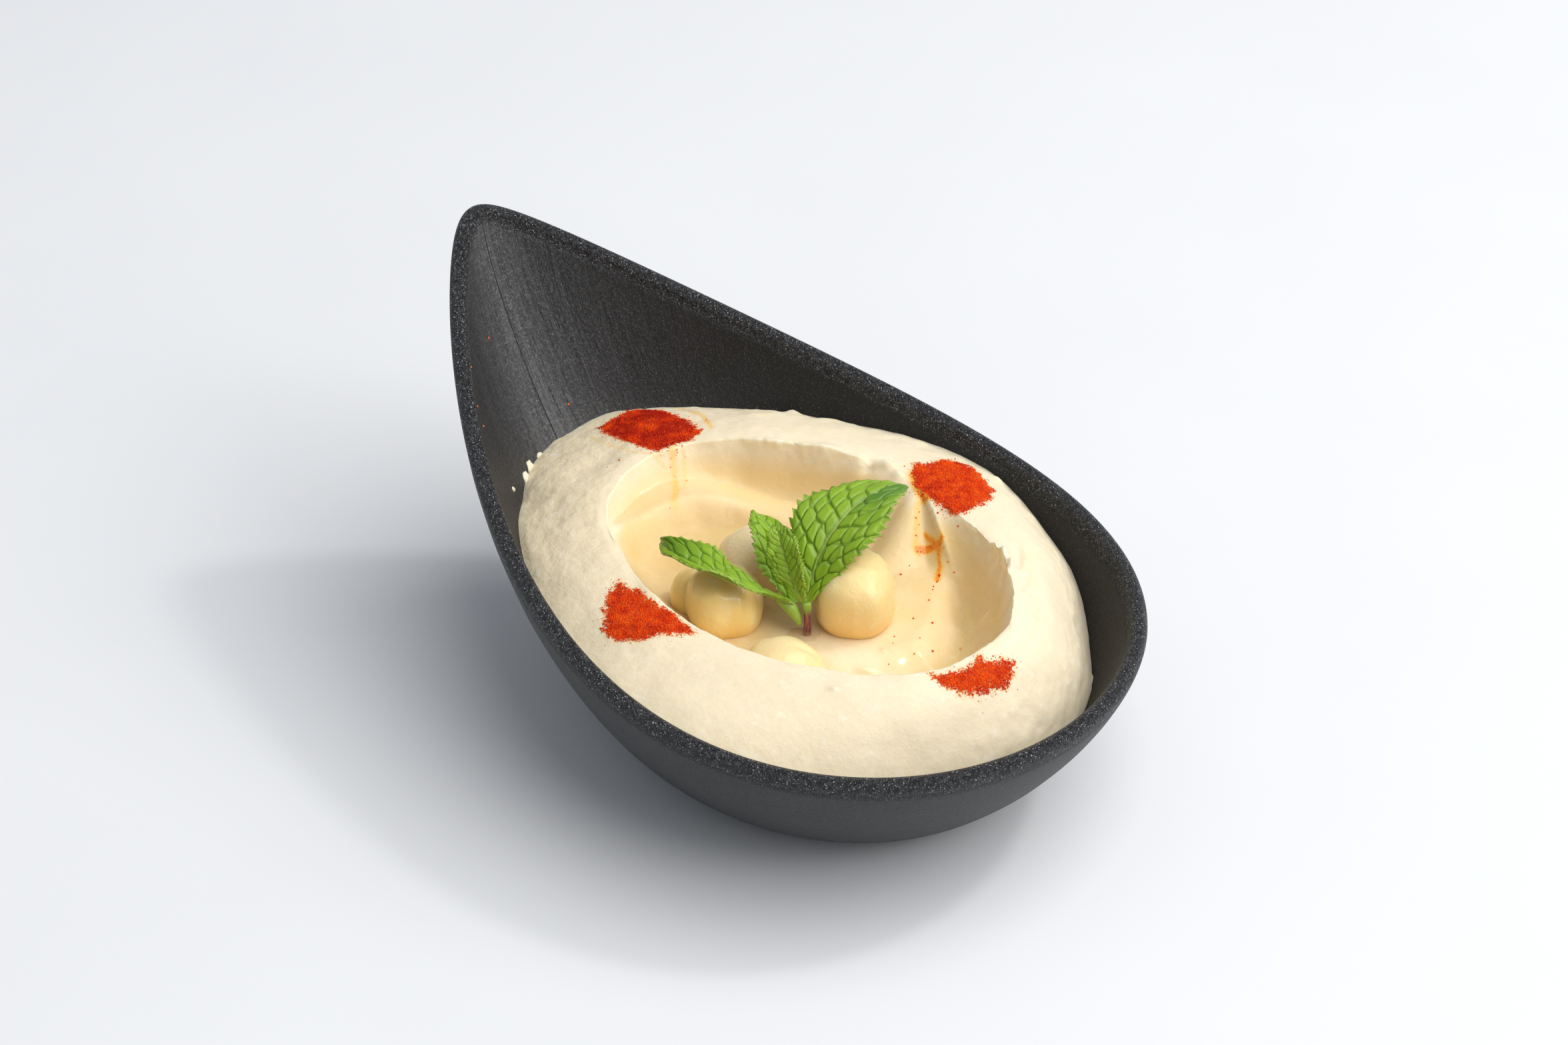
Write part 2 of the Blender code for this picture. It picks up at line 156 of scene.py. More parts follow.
class Paint:
    def __init__(self, name, roughness=0.5, specular=0.5):
        self.material = bpy.data.materials.new(name)
        self.material.use_nodes = True
        self.tree = self.material.node_tree
        self.shader = self.tree.nodes["Principled BSDF"]
        self.shader.inputs["Roughness"].default_value = roughness
        self.shader.inputs["Specular IOR Level"].default_value = specular

    def node(self, kind, settings, inputs, output=0):
        made = self.tree.nodes.new(kind)
        for key, value in settings.items():
            if key == "stops":
                while len(made.color_ramp.elements) < len(value):
                    made.color_ramp.elements.new(1.0)
                for element, (place, colour) in zip(made.color_ramp.elements, value):
                    element.position = place
                    element.color = colour
            else:
                setattr(made, key, value)
        for key, value in inputs.items():
            if isinstance(value, Wire):
                self.tree.links.new(value.socket, made.inputs[key])
            else:
                made.inputs[key].default_value = value
        return Wire(self, made.outputs[output])

    def place(self, stretch=(1.0, 1.0, 1.0), turn=(0.0, 0.0, 0.0)):
        coords = self.node("ShaderNodeTexCoord", {}, {}, "Object")
        return self.node("ShaderNodeMapping", {}, {"Vector": coords, "Scale": stretch, "Rotation": turn})

    def noise(self, size, detail=2.0, rough=0.5, stretch=(1.0, 1.0, 1.0), turn=(0.0, 0.0, 0.0), at=None):
        place = self.place(stretch, turn) if at is None else at
        inputs = {"Vector": place, "Scale": 1.0 / size, "Detail": detail, "Roughness": rough}
        return self.node("ShaderNodeTexNoise", {}, inputs, "Fac")

    def cells(self, size, feature="F1"):
        inputs = {"Vector": self.place(), "Scale": 1.0 / size}
        return self.node("ShaderNodeTexVoronoi", {"feature": feature}, inputs, "Distance")

    def mask(self, name):
        return self.node("ShaderNodeAttribute", {"attribute_name": name}, {}, "Fac")

    def mix(self, factor, first, second):
        colours = [c if isinstance(c, Wire) else (*c, 1.0) for c in (first, second)]
        return self.node("ShaderNodeMix", {"data_type": "RGBA"}, {0: factor, 6: colours[0], 7: colours[1]}, 2)

    def bump(self, height, distance, strength=1.0, under=None):
        inputs = {"Height": height, "Distance": distance, "Strength": strength}
        if under is not None:
            inputs["Normal"] = under
        return self.node("ShaderNodeBump", {}, inputs, "Normal")

    def feed(self, socket, value):
        target = self.shader.inputs[socket]
        if isinstance(value, Wire):
            self.tree.links.new(value.socket, target)
        elif isinstance(value, tuple) and len(value) == 3 and socket == "Base Color":
            target.default_value = (*value, 1.0)
        else:
            target.default_value = value


# Shapes: small tools that work on whole arrays

chance = np.random.default_rng(11)
lattice = chance.random((32, 32, 32))


def ease(x):
    # 0 before 0, 1 after 1, level at both ends: 3x^2 - 2x^3
    x = np.clip(x, 0.0, 1.0)
    return x * x * (3.0 - 2.0 * x)


def away(turn, at):
    return (turn - at + 180.0) % 360.0 - 180.0


def swell(turn, at, width):
    # a bump of height 1 at one turn: e to the minus square of the distance over the width
    return np.exp(-((away(turn, at) / width) ** 2))


def cloudy(points, size, octaves=1):
    # smooth value noise from -1 to 1: random numbers on a cubic lattice, eased between corners
    total, weight, scale = 0.0, 0.0, 1.0
    for octave in range(octaves):
        spot = np.asarray(points) / size * scale + 7.31 * (octave + 1)
        corner = np.floor(spot).astype(int)
        part = ease(spot - corner)
        value = 0.0
        for dx in (0, 1):
            for dy in (0, 1):
                for dz in (0, 1):
                    share = np.abs(1 - dx - part[..., 0]) * np.abs(1 - dy - part[..., 1])
                    share = share * np.abs(1 - dz - part[..., 2])
                    index = (corner + (dx, dy, dz)) % 32
                    value = value + share * lattice[index[..., 0], index[..., 1], index[..., 2]]
        total = total + (2.0 * value - 1.0) / scale**0.9
        weight += 1.0 / scale**0.9
        scale *= 2.0
    return total / weight


def normalsOf(grid, wrap=True):
    # cross product of the steps along rows and along columns, made unit length
    if wrap:
        across = np.roll(grid, -1, axis=1) - np.roll(grid, 1, axis=1)
    else:
        across = np.gradient(grid, axis=1)
    along = np.gradient(grid, axis=0)
    normal = np.cross(across, along)
    return normal / (np.linalg.norm(normal, axis=-1, keepdims=True) + 1e-12)


def putMesh(name, points, faces, paint, masks=None, smooth=True):
    # faces is a list of arrays of triangles or quads
    mesh = bpy.data.meshes.new(name)
    loops = np.concatenate([block.ravel() for block in faces]).astype(np.int32)
    sizes = np.concatenate([np.full(len(block), block.shape[1]) for block in faces])
    starts = np.concatenate([[0], np.cumsum(sizes)[:-1]]).astype(np.int32)
    mesh.vertices.add(len(points))
    mesh.vertices.foreach_set("co", np.asarray(points, np.float32).ravel())
    mesh.loops.add(len(loops))
    mesh.loops.foreach_set("vertex_index", loops)
    mesh.polygons.add(len(starts))
    mesh.polygons.foreach_set("loop_start", starts)
    mesh.polygons.foreach_set("loop_total", sizes.astype(np.int32))
    mesh.update(calc_edges=True)
    mesh.validate()
    if smooth:
        mesh.shade_smooth()
    for key, values in (masks or {}).items():
        layer = mesh.attributes.new(key, "FLOAT", "POINT")
        layer.data.foreach_set("value", np.asarray(values, np.float32).ravel())
    mesh.materials.append(paint.material)
    made = bpy.data.objects.new(name, mesh)
    bpy.context.scene.collection.objects.link(made)
    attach(made, "root")
    pieces.append(made)
    return made


def gridFaces(rows, columns, wrap=True, offset=0):
    # quads between neighbouring rows, with the last column joined to the first if wrap is set
    row = np.arange(rows - 1)[:, None] * columns
    here = np.arange(columns if wrap else columns - 1)[None]
    there = (here + 1) % columns
    quads = np.stack([row + here, row + there, row + columns + there, row + columns + here], axis=-1)
    return quads.reshape(-1, 4) + offset


def shell(name, grid, paint, masks=None, flip=False):
    # rings of points joined to one closed skin; each end closes on its own middle point
    rows, columns, _ = grid.shape
    ends = np.stack([grid[0].mean(axis=0), grid[-1].mean(axis=0)])
    points = np.concatenate([grid.reshape(-1, 3), ends])
    here = np.arange(columns)
    there = (here + 1) % columns
    first, last = rows * columns, rows * columns + 1
    under = (rows - 1) * columns
    start = np.stack([np.full(columns, first), there, here], axis=-1)
    close = np.stack([np.full(columns, last), under + here, under + there], axis=-1)
    faces = [gridFaces(rows, columns), start, close]
    if flip:
        faces = [block[:, ::-1] for block in faces]
    full = {}
    for key, values in (masks or {}).items():
        full[key] = np.concatenate([values.ravel(), [values[0].mean(), values[-1].mean()]])
    return putMesh(name, points, faces, paint, full)


# Bowl: a drop in plan, level at the round end and swept up to the tip

wall = 2.9 * mm
bowl = {
    "length": bowlBox[1][0] - bowlBox[0][0] - wall,
    "halfWidth": 55.2 * mm,                     # before the taper to the tip
    "tipBluntness": 0.042,
    "tipTaper": 0.358,
    "endHeight": 28.0 * mm,
    "steadyRise": 3.67 * mm,
    "tipRise": 33.55 * mm,
    "floor": 3.0 * mm,
    "footX": 11.1 * mm,
    "footHalfLength": 34.4 * mm,
    "footHalfWidth": 26.3 * mm,
    "footInset": 1.2 * mm,
    "endSection": 1.33,                         # 1 is a straight wall, 2 an ellipse
    "tipSection": 1.39,
}


def rimLine(turn):
    # x is -cos of the turn, y is its sin times a taper that closes in on the tip; the normal is the
    # slope of that line turned outwards; the height grows with the way to the tip and its cube
    def plan(angle):
        half = np.where(angle > math.pi, 2.0 * math.pi - angle, angle)
        open_ = bowl["tipBluntness"] + (1.0 - bowl["tipBluntness"]) * np.sin(half / 2.0) ** 2
        x = -bowl["length"] / 2.0 * np.cos(angle)
        return x, bowl["halfWidth"] * np.sin(angle) * open_ ** bowl["tipTaper"]

    angle = np.radians(turn)
    x, y = plan(angle)
    ahead = plan((angle + 0.01) % (2.0 * math.pi))
    behind = plan((angle - 0.01) % (2.0 * math.pi))
    normal = np.stack([behind[1] - ahead[1], ahead[0] - behind[0]], axis=-1)
    normal /= np.linalg.norm(normal, axis=-1, keepdims=True)
    way = 0.5 - x / bowl["length"]
    z = bowl["endHeight"] + bowl["steadyRise"] * way + bowl["tipRise"] * way**3
    return np.stack([x, y], axis=-1), z, normal


def wallPoint(turn, share, side, clear=0.0):
    # from the foot oval (share 0) to the rim (share 1), out along a superellipse; side 1 is outside
    rim, rimZ, normal = rimLine(turn)
    angle = np.radians(turn)
    tip = ((1.0 + np.cos(angle)) / 2.0) ** 1.5
    power = bowl["endSection"] + (bowl["tipSection"] - bowl["endSection"]) * tip
    inset = 0.0 if side > 0 else bowl["footInset"]
    base = 0.0 if side > 0 else bowl["floor"]
    footX = bowl["footX"] - (bowl["footHalfLength"] - inset - clear) * np.cos(angle)
    footY = (bowl["footHalfWidth"] - inset - clear) * np.sin(angle)
    foot = np.stack([footX, footY], axis=-1)
    top = rim + normal * (side * wall / 2.0 - clear)
    out = (1.0 - (1.0 - share) ** power) ** (1.0 / power)
    plan = foot + (top - foot) * out[..., None]
    return np.concatenate([plan, (base + clear + (rimZ - base) * share)[..., None]], axis=-1)


def blackMelamine():
    paint = Paint("blackMelamine", specular=0.4)
    grain = paint.noise(0.65 * mm, detail=3.0, rough=0.7)
    fine = paint.noise(0.26 * mm, detail=2.0, rough=0.6)
    along = {"X": paint.mask("brushRound"), "Y": paint.mask("brushDown")}
    drawn = paint.noise(1.1 * mm, detail=4.0, rough=0.7, at=paint.node("ShaderNodeCombineXYZ", {}, along))
    broad = paint.noise(9.0 * mm, detail=3.0, rough=0.6)
    rim, inner, outer = paint.mask("rim"), paint.mask("inner"), paint.mask("outer")
    shade = (grain * 0.5 + broad * 0.5).between(0.3, 0.7)
    base = paint.mix(shade, (0.004, 0.004, 0.0045), (0.011, 0.011, 0.012))
    # painted reflection: the outside wall is painted lighter than the inside, for the pale table and light it reflects
    base = paint.mix(outer, base, paint.mix(shade, (0.028, 0.0285, 0.030), (0.044, 0.0445, 0.046)))
    base = paint.mix(rim, base, paint.mix(grain.between(0.4, 0.65), (0.008, 0.008, 0.0085), (0.050, 0.050, 0.052)))
    # painted sheen: the inner wall near the tip is painted lighter, with brushed streaks, where the key light's
    # reflection falls
    streaksAndSheen = paint.mix(drawn.between(0.30, 0.70), (0.040, 0.040, 0.041), (0.110, 0.109, 0.111))
    streaksAndSheen = paint.mix(grain.between(0.48, 0.66), streaksAndSheen, (0.140, 0.139, 0.142))
    base = paint.mix(inner, base, streaksAndSheen)
    # light specks of the grain plus painted glints, strongest along the rim and in the painted sheen band
    specksAndGlints = fine.between(0.61, 0.69) * (0.12 + 0.88 * rim + 0.25 * inner)
    paint.feed("Base Color", paint.mix(specksAndGlints.clipped(), base, (0.50, 0.505, 0.52)))
    paint.feed("Roughness", 0.44 + 0.14 * broad - 0.06 * rim + 0.08 * inner * drawn)
    relief = grain * (0.8 + 1.4 * rim) + fine * (0.5 + 1.4 * rim) + drawn * inner * 2.2
    paint.feed("Normal", paint.bump(relief, 0.30 * mm, 1.0))
    return paint


def makeBowl(turns=360, outerRows=64, beadRows=13, innerRows=60):
    # outer wall from foot to rim, a half round bead over the rim, inner wall back to the floor
    turn = np.arange(turns) * 360.0 / turns
    rim, rimZ, normal = rimLine(turn)

    def rows(count, side):
        angle = np.linspace(0.0, math.pi / 2.0, count)[:, None]
        share = (1.0 - np.cos(angle) ** (2.0 / bowl["endSection"])) + 0.0 * turn[None]
        return wallPoint(turn[None] + 0.0 * share, share, side)

    angle = np.linspace(0.0, math.pi, beadRows + 2)[1:-1, None, None]
    bead = np.concatenate([
        rim[None] + normal[None] * wall / 2.0 * np.cos(angle),
        rimZ[None, :, None] + wall / 2.0 * np.sin(angle),
    ], axis=-1)
    grid = np.concatenate([rows(outerRows, 1), bead, rows(innerRows, -1)[::-1]])
    height = grid[..., 2] - rimZ[None]
    inner = np.zeros(grid.shape[:2])
    inner[outerRows + beadRows:] = 1.0
    towardsTip = ease((-grid[..., 0] - 22.0 * mm) / (30.0 * mm))
    rimMask = ease((height + 2.2 * mm) / (1.6 * mm))
    # painted sheen: the band by the tip where the inner wall is painted lighter; the inner mask carries it
    sheenBand = 0.20 + 0.80 * swell(turn, 2.0, 24.0)
    step = np.linalg.norm(np.diff(grid, axis=1, append=grid[:, :1]), axis=-1)
    masks = {
        "rim": rimMask, "inner": inner * towardsTip * sheenBand * (1.0 - 0.6 * rimMask), "outer": (1.0 - inner) * (1.0 - rimMask),
        "brushRound": np.cumsum(np.broadcast_to(step[outerRows + beadRows + 8], step.shape), axis=1),
        "brushDown": 0.07 * grid[..., 2] + 0.05 * grid[..., 0],
    }
    wave = cloudy(grid, 7.0 * mm, 2)[..., None] * normalsOf(grid) * 0.06 * mm
    grid[2:-2] += wave[2:-2] * np.clip(-masks["rim"][2:-2, :, None] + 1.0, 0.0, 1.0)
    made = shell("bowlSkin", grid, blackMelamine(), masks)
    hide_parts("bowl")
    return made


# Hummus: a mound with a well. Places on it are a turn and a share: 0 mid well, 1 lip, 2 bowl wall

mound = {
    "wellX": 10.7 * mm,
    "wellY": 0.3 * mm,
    "lipHalfLength": 38.1 * mm,
    "lipHalfWidth": 26.4 * mm,
    "lipHeight": 33.4 * mm,
    "edgeHeight": 30.4 * mm,
    "endDrop": 12.6 * mm,
    "wellFloor": 25.7 * mm,
    "basinX": -9.0 * mm,
    "basinY": -3.0 * mm,
    "basinDepth": 2.3 * mm,
    "troughHeight": 21.8 * mm,
    "ridgeHeight": 25.8 * mm,
    "ledgeHeight": 29.4 * mm,
    "endSpiralStart": 89.0,
    "tipSpiralStart": 313.0,
}


def lipPlan(turn):
    # an oval whose reach has a few swells, plus a slight waver
    angle = np.radians(turn)
    reach = 1.0 - 0.050 * swell(turn, 48, 17) + 0.066 * swell(turn, 80, 10) + 0.006 * swell(turn, 350, 14)
    reach = reach - 0.018 * swell(turn, 303, 16) - 0.014 * swell(turn, 180, 16)
    reach = reach + 0.004 * np.sin(9.0 * angle + 0.6) + 0.003 * np.sin(23.0 * angle)
    x = mound["wellX"] - mound["lipHalfLength"] * reach * np.cos(angle)
    y = mound["wellY"] + mound["lipHalfWidth"] * reach * np.sin(angle)
    return np.stack([x, y], axis=-1)


def lipHeight(turn):
    return mound["lipHeight"] + 1.3 * mm * swell(turn, 48, 26) - 0.6 * mm * swell(turn, 84, 12)


def edgeHeight(turn):
    # highest at the back, lower round the round end, with a ragged waver where it was wiped
    sunk = ease((turn - 98.0) / 46.0) * (1.0 - ease((turn - 196.0) / 60.0))
    height = mound["edgeHeight"] - mound["endDrop"] * sunk
    height = height - 2.2 * mm * swell(turn, 2, 20) - 1.2 * mm * swell(turn, 300, 50) - 1.4 * mm * swell(turn, 338, 14)
    height = height - 2.3 * mm * swell(turn, 112, 13) - 1.2 * mm * swell(turn, 319, 8)
    around = np.stack([np.cos(np.radians(turn)), np.sin(np.radians(turn)), 0.0 * turn], axis=-1)
    return height + 0.35 * mm * cloudy(around, 0.12, 3)


def spiral(turn, start, inner, pace):
    # share of the way to the lip: inner + (1 - inner) times e to the minus turned angle over pace
    return inner + (1.0 - inner) * np.exp(-((turn - start) % 360.0) / pace)


def floorHeight(plan):
    offX = (plan[..., 0] - mound["basinX"]) / (11.0 * mm)
    offY = (plan[..., 1] - mound["basinY"]) / (12.0 * mm)
    return mound["wellFloor"] - mound["basinDepth"] * np.exp(-(offX**2) - offY**2)


def stepped(share, ridge, troughZ, ridgeZ, lipZ, floorZ, wallShare, bankShare, slopeShare):
    # going in: crisp lip, steep wall, flat trough, bank up to a ridge, slope down to the floor
    across = np.maximum(1.0 - ridge, 1e-6)
    foot = np.maximum(ridge - slopeShare, 0.02)
    up = np.clip((share - 1.0 + wallShare * across) / (wallShare * across), 0.0, 1.0)
    steep = troughZ + (lipZ - troughZ) * up**1.8
    bank = ridgeZ + (troughZ - ridgeZ) * ease((share - ridge) / np.minimum(bankShare * across + 0.06, across))
    slope = floorZ + (ridgeZ - floorZ) * ease((share - foot) / (ridge - foot))
    height = np.where(share > 1.0 - wallShare * across, steep, bank)
    return np.where(share > ridge, height, slope)


def wellHeight(turn, share, plan):
    # two spoon strokes: each leaves the lip, winds inwards and has its trough outside its ridge
    lipZ, floorZ = lipHeight(turn), floorHeight(plan)
    gone = (turn - mound["endSpiralStart"]) % 360.0
    drawn, sloped = ease((gone - 5.0) / 40.0), ease(gone / 22.0)
    left = 1.0 - ease((gone - 120.0) / 60.0)
    ridge = spiral(turn, mound["endSpiralStart"], 0.53, 27.0)
    ridgeZ = lipZ + (mound["ridgeHeight"] - lipZ) * sloped
    ridgeZ = floorZ + (ridgeZ - floorZ) * (1.0 - ease((gone - 50.0) / 60.0))
    troughZ = lipZ + (mound["troughHeight"] - lipZ) * drawn
    troughZ = floorZ + (troughZ - floorZ) * left
    endStroke = stepped(share, ridge, troughZ, ridgeZ, lipZ, floorZ, 0.56, 0.40, 0.48)
    # just before the stroke starts, the steep wall turns into its long slope
    shoulder = floorZ + (lipZ - floorZ) * ease((share - 0.52) / 0.48)
    endStroke = endStroke + (shoulder - endStroke) * ease((gone - 333.0) / 24.0)

    gone = (turn - mound["tipSpiralStart"]) % 360.0
    ridge = spiral(turn, mound["tipSpiralStart"], 0.45, 92.0)
    drawn, dug = ease(gone / 26.0), ease((gone - 50.0) / 50.0)
    ridgeZ = lipZ + (mound["ledgeHeight"] + 0.5 * mm - lipZ) * drawn
    ridgeZ = ridgeZ + (floorZ + 1.2 * mm - ridgeZ) * dug
    troughZ = lipZ + (mound["ledgeHeight"] - lipZ) * drawn
    troughZ = troughZ + (floorZ - troughZ) * dug
    tipStroke = stepped(share, ridge, troughZ, ridgeZ, lipZ, floorZ, 0.42, 0.50, 0.16)
    inTip = ease(gone / 10.0) * (1.0 - ease((gone - 108.0) / 20.0))
    return endStroke + (tipStroke - endStroke) * inTip


def moundPoint(turn, share, clear=0.0):
    # inside the lip the plan scales from the well's middle; outside it runs straight to the wall
    lip, edge = lipPlan(turn), edgeHeight(turn)
    rimZ = rimLine(turn)[1]
    contact = wallPoint(turn, (edge - bowl["floor"]) / (rimZ - bowl["floor"]), -1, clear)
    centre = np.array([mound["wellX"], mound["wellY"]])
    inside = np.minimum(share, 1.0)[..., None]
    beyond = np.clip(share - 1.0, 0.0, 1.0)
    plan = centre + (lip - centre) * inside + (contact[..., :2] - lip) * beyond[..., None]
    lipZ = lipHeight(turn)
    fullness = 2.3 - 0.5 * swell(turn, 0, 40) - 0.3 * swell(turn, 160, 40)
    flank = lipZ + (contact[..., 2] - lipZ) * beyond**fullness
    groove = swell(turn, 150, 24) * np.exp(-(((beyond - 0.24) / 0.09) ** 2))
    flank = flank - 0.8 * mm * groove
    height = np.where(share > 1.0, flank, wellHeight(turn, share, plan))
    return np.concatenate([plan, height[..., None]], axis=-1)


# Paprika: four patches, each an outline in plan (mm) with frayed edges, and how red it lies
patches = {
    "tipBack": [(-44.2, 4.9), (-43.7, 7.9), (-42.8, 11.6), (-41.1, 15.0), (-35.4, 14.0), (-29.8, 13.6), (-26.2, 12.7),
                (-25.7, 10.2), (-27.0, 6.6), (-27.2, 3.8), (-29.4, 3.0), (-32.9, 2.4), (-36.5, 2.8), (-40.4, 3.5)],
    "roundBack": [(4.8, 32.2), (7.0, 33.8), (6.7, 37.7), (8.6, 39.2), (11.7, 39.3), (15.2, 37.7), (18.6, 37.0),
                  (20.8, 33.8), (21.3, 30.1), (21.3, 27.0), (20.4, 25.5), (15.3, 25.6), (10.4, 26.6), (7.7, 28.9)],
    "tipFront": [(-5.4, -26.0), (-2.9, -26.6), (-1.2, -25.8), (1.6, -26.8), (6.9, -26.4), (13.6, -27.2), (11.2, -30.3),
                 (8.8, -32.5), (7.7, -34.6), (4.2, -36.2), (1.8, -36.2), (-1.4, -33.0), (-3.7, -30.2)],
    "roundFront": [(46.8, -9.6), (48.2, -8.1), (49.1, -5.7), (49.7, -3.1), (48.8, -0.7), (50.2, -0.6), (51.3, 1.8),
                   (52.3, 3.3), (53.8, 2.0), (54.3, -0.5), (53.8, -3.2), (53.2, -5.8), (51.8, -8.2), (49.5, -9.8)],
}
drips = {
    # wet orange stains: plan points along the run (mm), width (mm), strength
    "tipBackRun": ([(-26.6, 6.0), (-24.0, 4.0), (-21.0, 1.4), (-18.5, -1.6)], 0.9, 0.40),
    "tipBackFork": ([(-25.4, 7.4), (-22.4, 5.0), (-20.4, 2.6)], 0.6, 0.30),
    "tipBackEdge": ([(-38.0, 17.6), (-31.0, 17.2), (-25.8, 14.6)], 0.8, 0.42),
    "tipBackFront": ([(-42.0, 1.6), (-36.5, 0.4), (-30.5, 0.8), (-26.0, 3.4)], 0.6, 0.30),
    "roundBackRun": ([(11.6, 26.6), (14.4, 22.9), (15.6, 21.4), (17.2, 19.4)], 0.8, 0.50),
    "roundBackFork": ([(17.0, 22.0), (19.2, 21.8), (20.9, 21.2), (22.6, 19.6), (24.0, 17.3)], 0.55, 0.75),
    "roundBackSmear": ([(17.6, 19.5), (18.8, 21.0), (20.4, 22.0)], 0.7, 0.9),
    "roundBackWet": ([(7.4, 30.0), (10.6, 27.2), (14.0, 26.0)], 1.4, 0.85),
}
specks = [
    # single crumbs washed into the well: plan points (mm)
    (18.5, 16.8), (18.7, 14.2), (23.5, 20.5), (25.3, 20.2), (32.5, 4.0), (30.6, -0.2), (36.1, 9.7), (17.4, 24.4), (18.0, 25.2),
    (24.4, 17.0), (24.9, 15.6), (25.4, 14.9), (23.7, 18.4), (29.6, 1.2), (34.0, 1.0), (35.2, 4.2), (28.4, 6.6), (-30.6, -2.3),
    (-30.8, -5.2), (16.2, 26.6), (22.0, 24.6), (31.2, 8.4), (27.0, 12.2), (38.2, -2.0), (36.0, -5.5), (33.0, -4.0),
]


def insideOf(x, y, outline):
    # distance into the outline (mm), below 0 outside it: the least distance to its sides, signed
    # by how often a ray crosses them
    corners = np.array(outline)
    ends = np.roll(corners, -1, axis=0)
    spot = np.stack([x, y], axis=-1)[..., None, :]
    side = ends - corners
    along = np.clip(((spot - corners) * side).sum(-1) / (side**2).sum(-1), 0.0, 1.0)
    gap = np.linalg.norm(spot - corners - along[..., None] * side, axis=-1).min(axis=-1)
    above = (corners[:, 1] > y[..., None]) != (ends[:, 1] > y[..., None])
    slope = np.where(np.abs(side[:, 1]) < 1e-9, 1e-9, side[:, 1])
    crossed = above & (x[..., None] < side[:, 0] * (y[..., None] - corners[:, 1]) / slope + corners[:, 0])
    return np.where(crossed.sum(-1) % 2 == 1, gap, -gap)


def patchMask(points):
    # 1 well inside any patch, fading over its frayed edge
    x, y = points[..., 0] / mm, points[..., 1] / mm
    fray = 0.7 * cloudy(points, 1.3 * mm, 2) + 0.9 * cloudy(points, 0.55 * mm)
    mask = np.zeros(x.shape)
    for outline in patches.values():
        mask = np.maximum(mask, ease((insideOf(x, y, outline) + 0.75 * fray + 0.2) / 0.5))
    return mask


def wetRed(points):
    # 1 where the paprika has drunk oil: all of the patch at the tip's back, and its neighbour's lower side
    x, y = points[..., 0] / mm, points[..., 1] / mm
    lower = ease((insideOf(x, y, patches["roundBack"]) + 0.5) / 1.0) * ease((30.5 - y - 0.3 * (x - 8.0)) / 3.0)
    clouds = ease(0.7 + 0.9 * cloudy(points, 2.2 * mm, 2))
    return np.maximum(ease((insideOf(x, y, patches["tipBack"]) + 0.5) / 1.0), 0.8 * lower) * clouds


def dripMask(points):
    x, y = points[..., 0] / mm, points[..., 1] / mm
    waver = 1.0 + 0.5 * cloudy(points, 1.5 * mm, 2)
    mask = np.zeros(x.shape)
    for path, width, strength in drips.values():
        corners = np.array(path)
        side = corners[1:] - corners[:-1]
        spot = np.stack([x, y], axis=-1)[..., None, :]
        along = np.clip(((spot - corners[:-1]) * side).sum(-1) / (side**2).sum(-1), 0.0, 1.0)
        gap = np.linalg.norm(spot - corners[:-1] - along[..., None] * side, axis=-1).min(axis=-1)
        mask = np.maximum(mask, strength * np.exp(-((gap / width / waver) ** 2)))
    return mask


lumps = {
    # name: turn, share, height (mm), width round and across (mm)
    "backLipPatch": (62.0, 1.02, 0.7, 3.2, 1.5),
    "backLipNotch": (74.0, 0.99, -1.0, 1.0, 1.2),
    "backLipCrumb": (79.0, 1.01, 0.9, 1.1, 1.0),
    "endLipLump": (141.0, 0.97, 1.3, 2.2, 1.3),
    "endLipWetOne": (123.0, 1.01, 0.9, 1.0, 0.8),
    "endLipWetTwo": (127.5, 1.03, 1.2, 1.6, 0.9),
    "endLipWetThree": (132.5, 1.07, 1.0, 1.4, 0.8),
    "endLipGroove": (131.0, 1.16, -0.9, 4.2, 0.7),
    "endLipGrooveEnd": (139.0, 1.15, -0.8, 3.0, 0.8),
    "endLipLower": (150.0, 0.985, 0.6, 3.0, 0.9),
    "frontLipFold": (286.0, 0.99, 0.5, 3.5, 1.2),
    "frontRidge": (232.0, 0.98, 0.5, 5.0, 1.4),
    "tipHollow": (346.0, 1.35, -0.7, 6.0, 3.0),
    "tipShoulder": (20.0, 1.5, 0.5, 7.0, 4.0),
    "backCrest": (60.0, 1.75, 0.5, 5.0, 2.5),
    "backCrestTwo": (100.0, 1.7, 0.45, 3.0, 2.0),
    "endFlank": (165.0, 1.6, 0.6, 6.0, 4.0),
    "backWallFlap": (70.0, 0.93, 0.8, 3.2, 1.6),
    "backKnob": (83.0, 0.97, 0.9, 1.2, 1.2),
    "endLipShelf": (128.0, 1.02, 0.7, 2.4, 1.2),
    "wallCrestOne": (66.0, 1.93, 0.7, 1.3, 1.0),
    "wallCrestTwo": (72.0, 1.9, 0.6, 2.2, 1.0),
    "wallCrestThree": (103.0, 1.92, 0.7, 1.2, 0.9),
    "wallCrestFour": (112.0, 1.9, 0.6, 1.8, 1.0),
    "wallCrestFive": (88.0, 1.92, 0.5, 1.6, 1.0),
}
glints = [
    # small wet beads in the trough and on the lip: plan point (mm), height, length, width (mm)
    (25.6, 19.9, 0.25, 0.9, 0.4), (35.8, 15.8, 0.30, 0.8, 0.5), (34.6, 14.2, 0.25, 1.2, 0.4), (33.4, 12.6, 0.30, 0.7, 0.4),
    (36.6, 12.4, 0.25, 0.5, 0.4), (30.6, -2.6, 0.2, 0.5, 0.4), (31.7, -7.2, 0.2, 1.6, 0.4), (38.5, -22.5, 0.25, 0.6, 0.4),
    (37.0, 21.0, 0.3, 1.4, 0.5), (42.8, 17.7, 0.3, 0.6, 0.4), (37.4, 7.2, 0.25, 0.6, 0.4), (-6.1, -17.5, 0.2, 0.9, 0.5),
    (33.6, 21.6, 0.1, 1.8, 0.9), (36.6, 20.6, 0.1, 2.0, 0.9), (31.6, 22.4, 0.1, 0.9, 0.7),
]


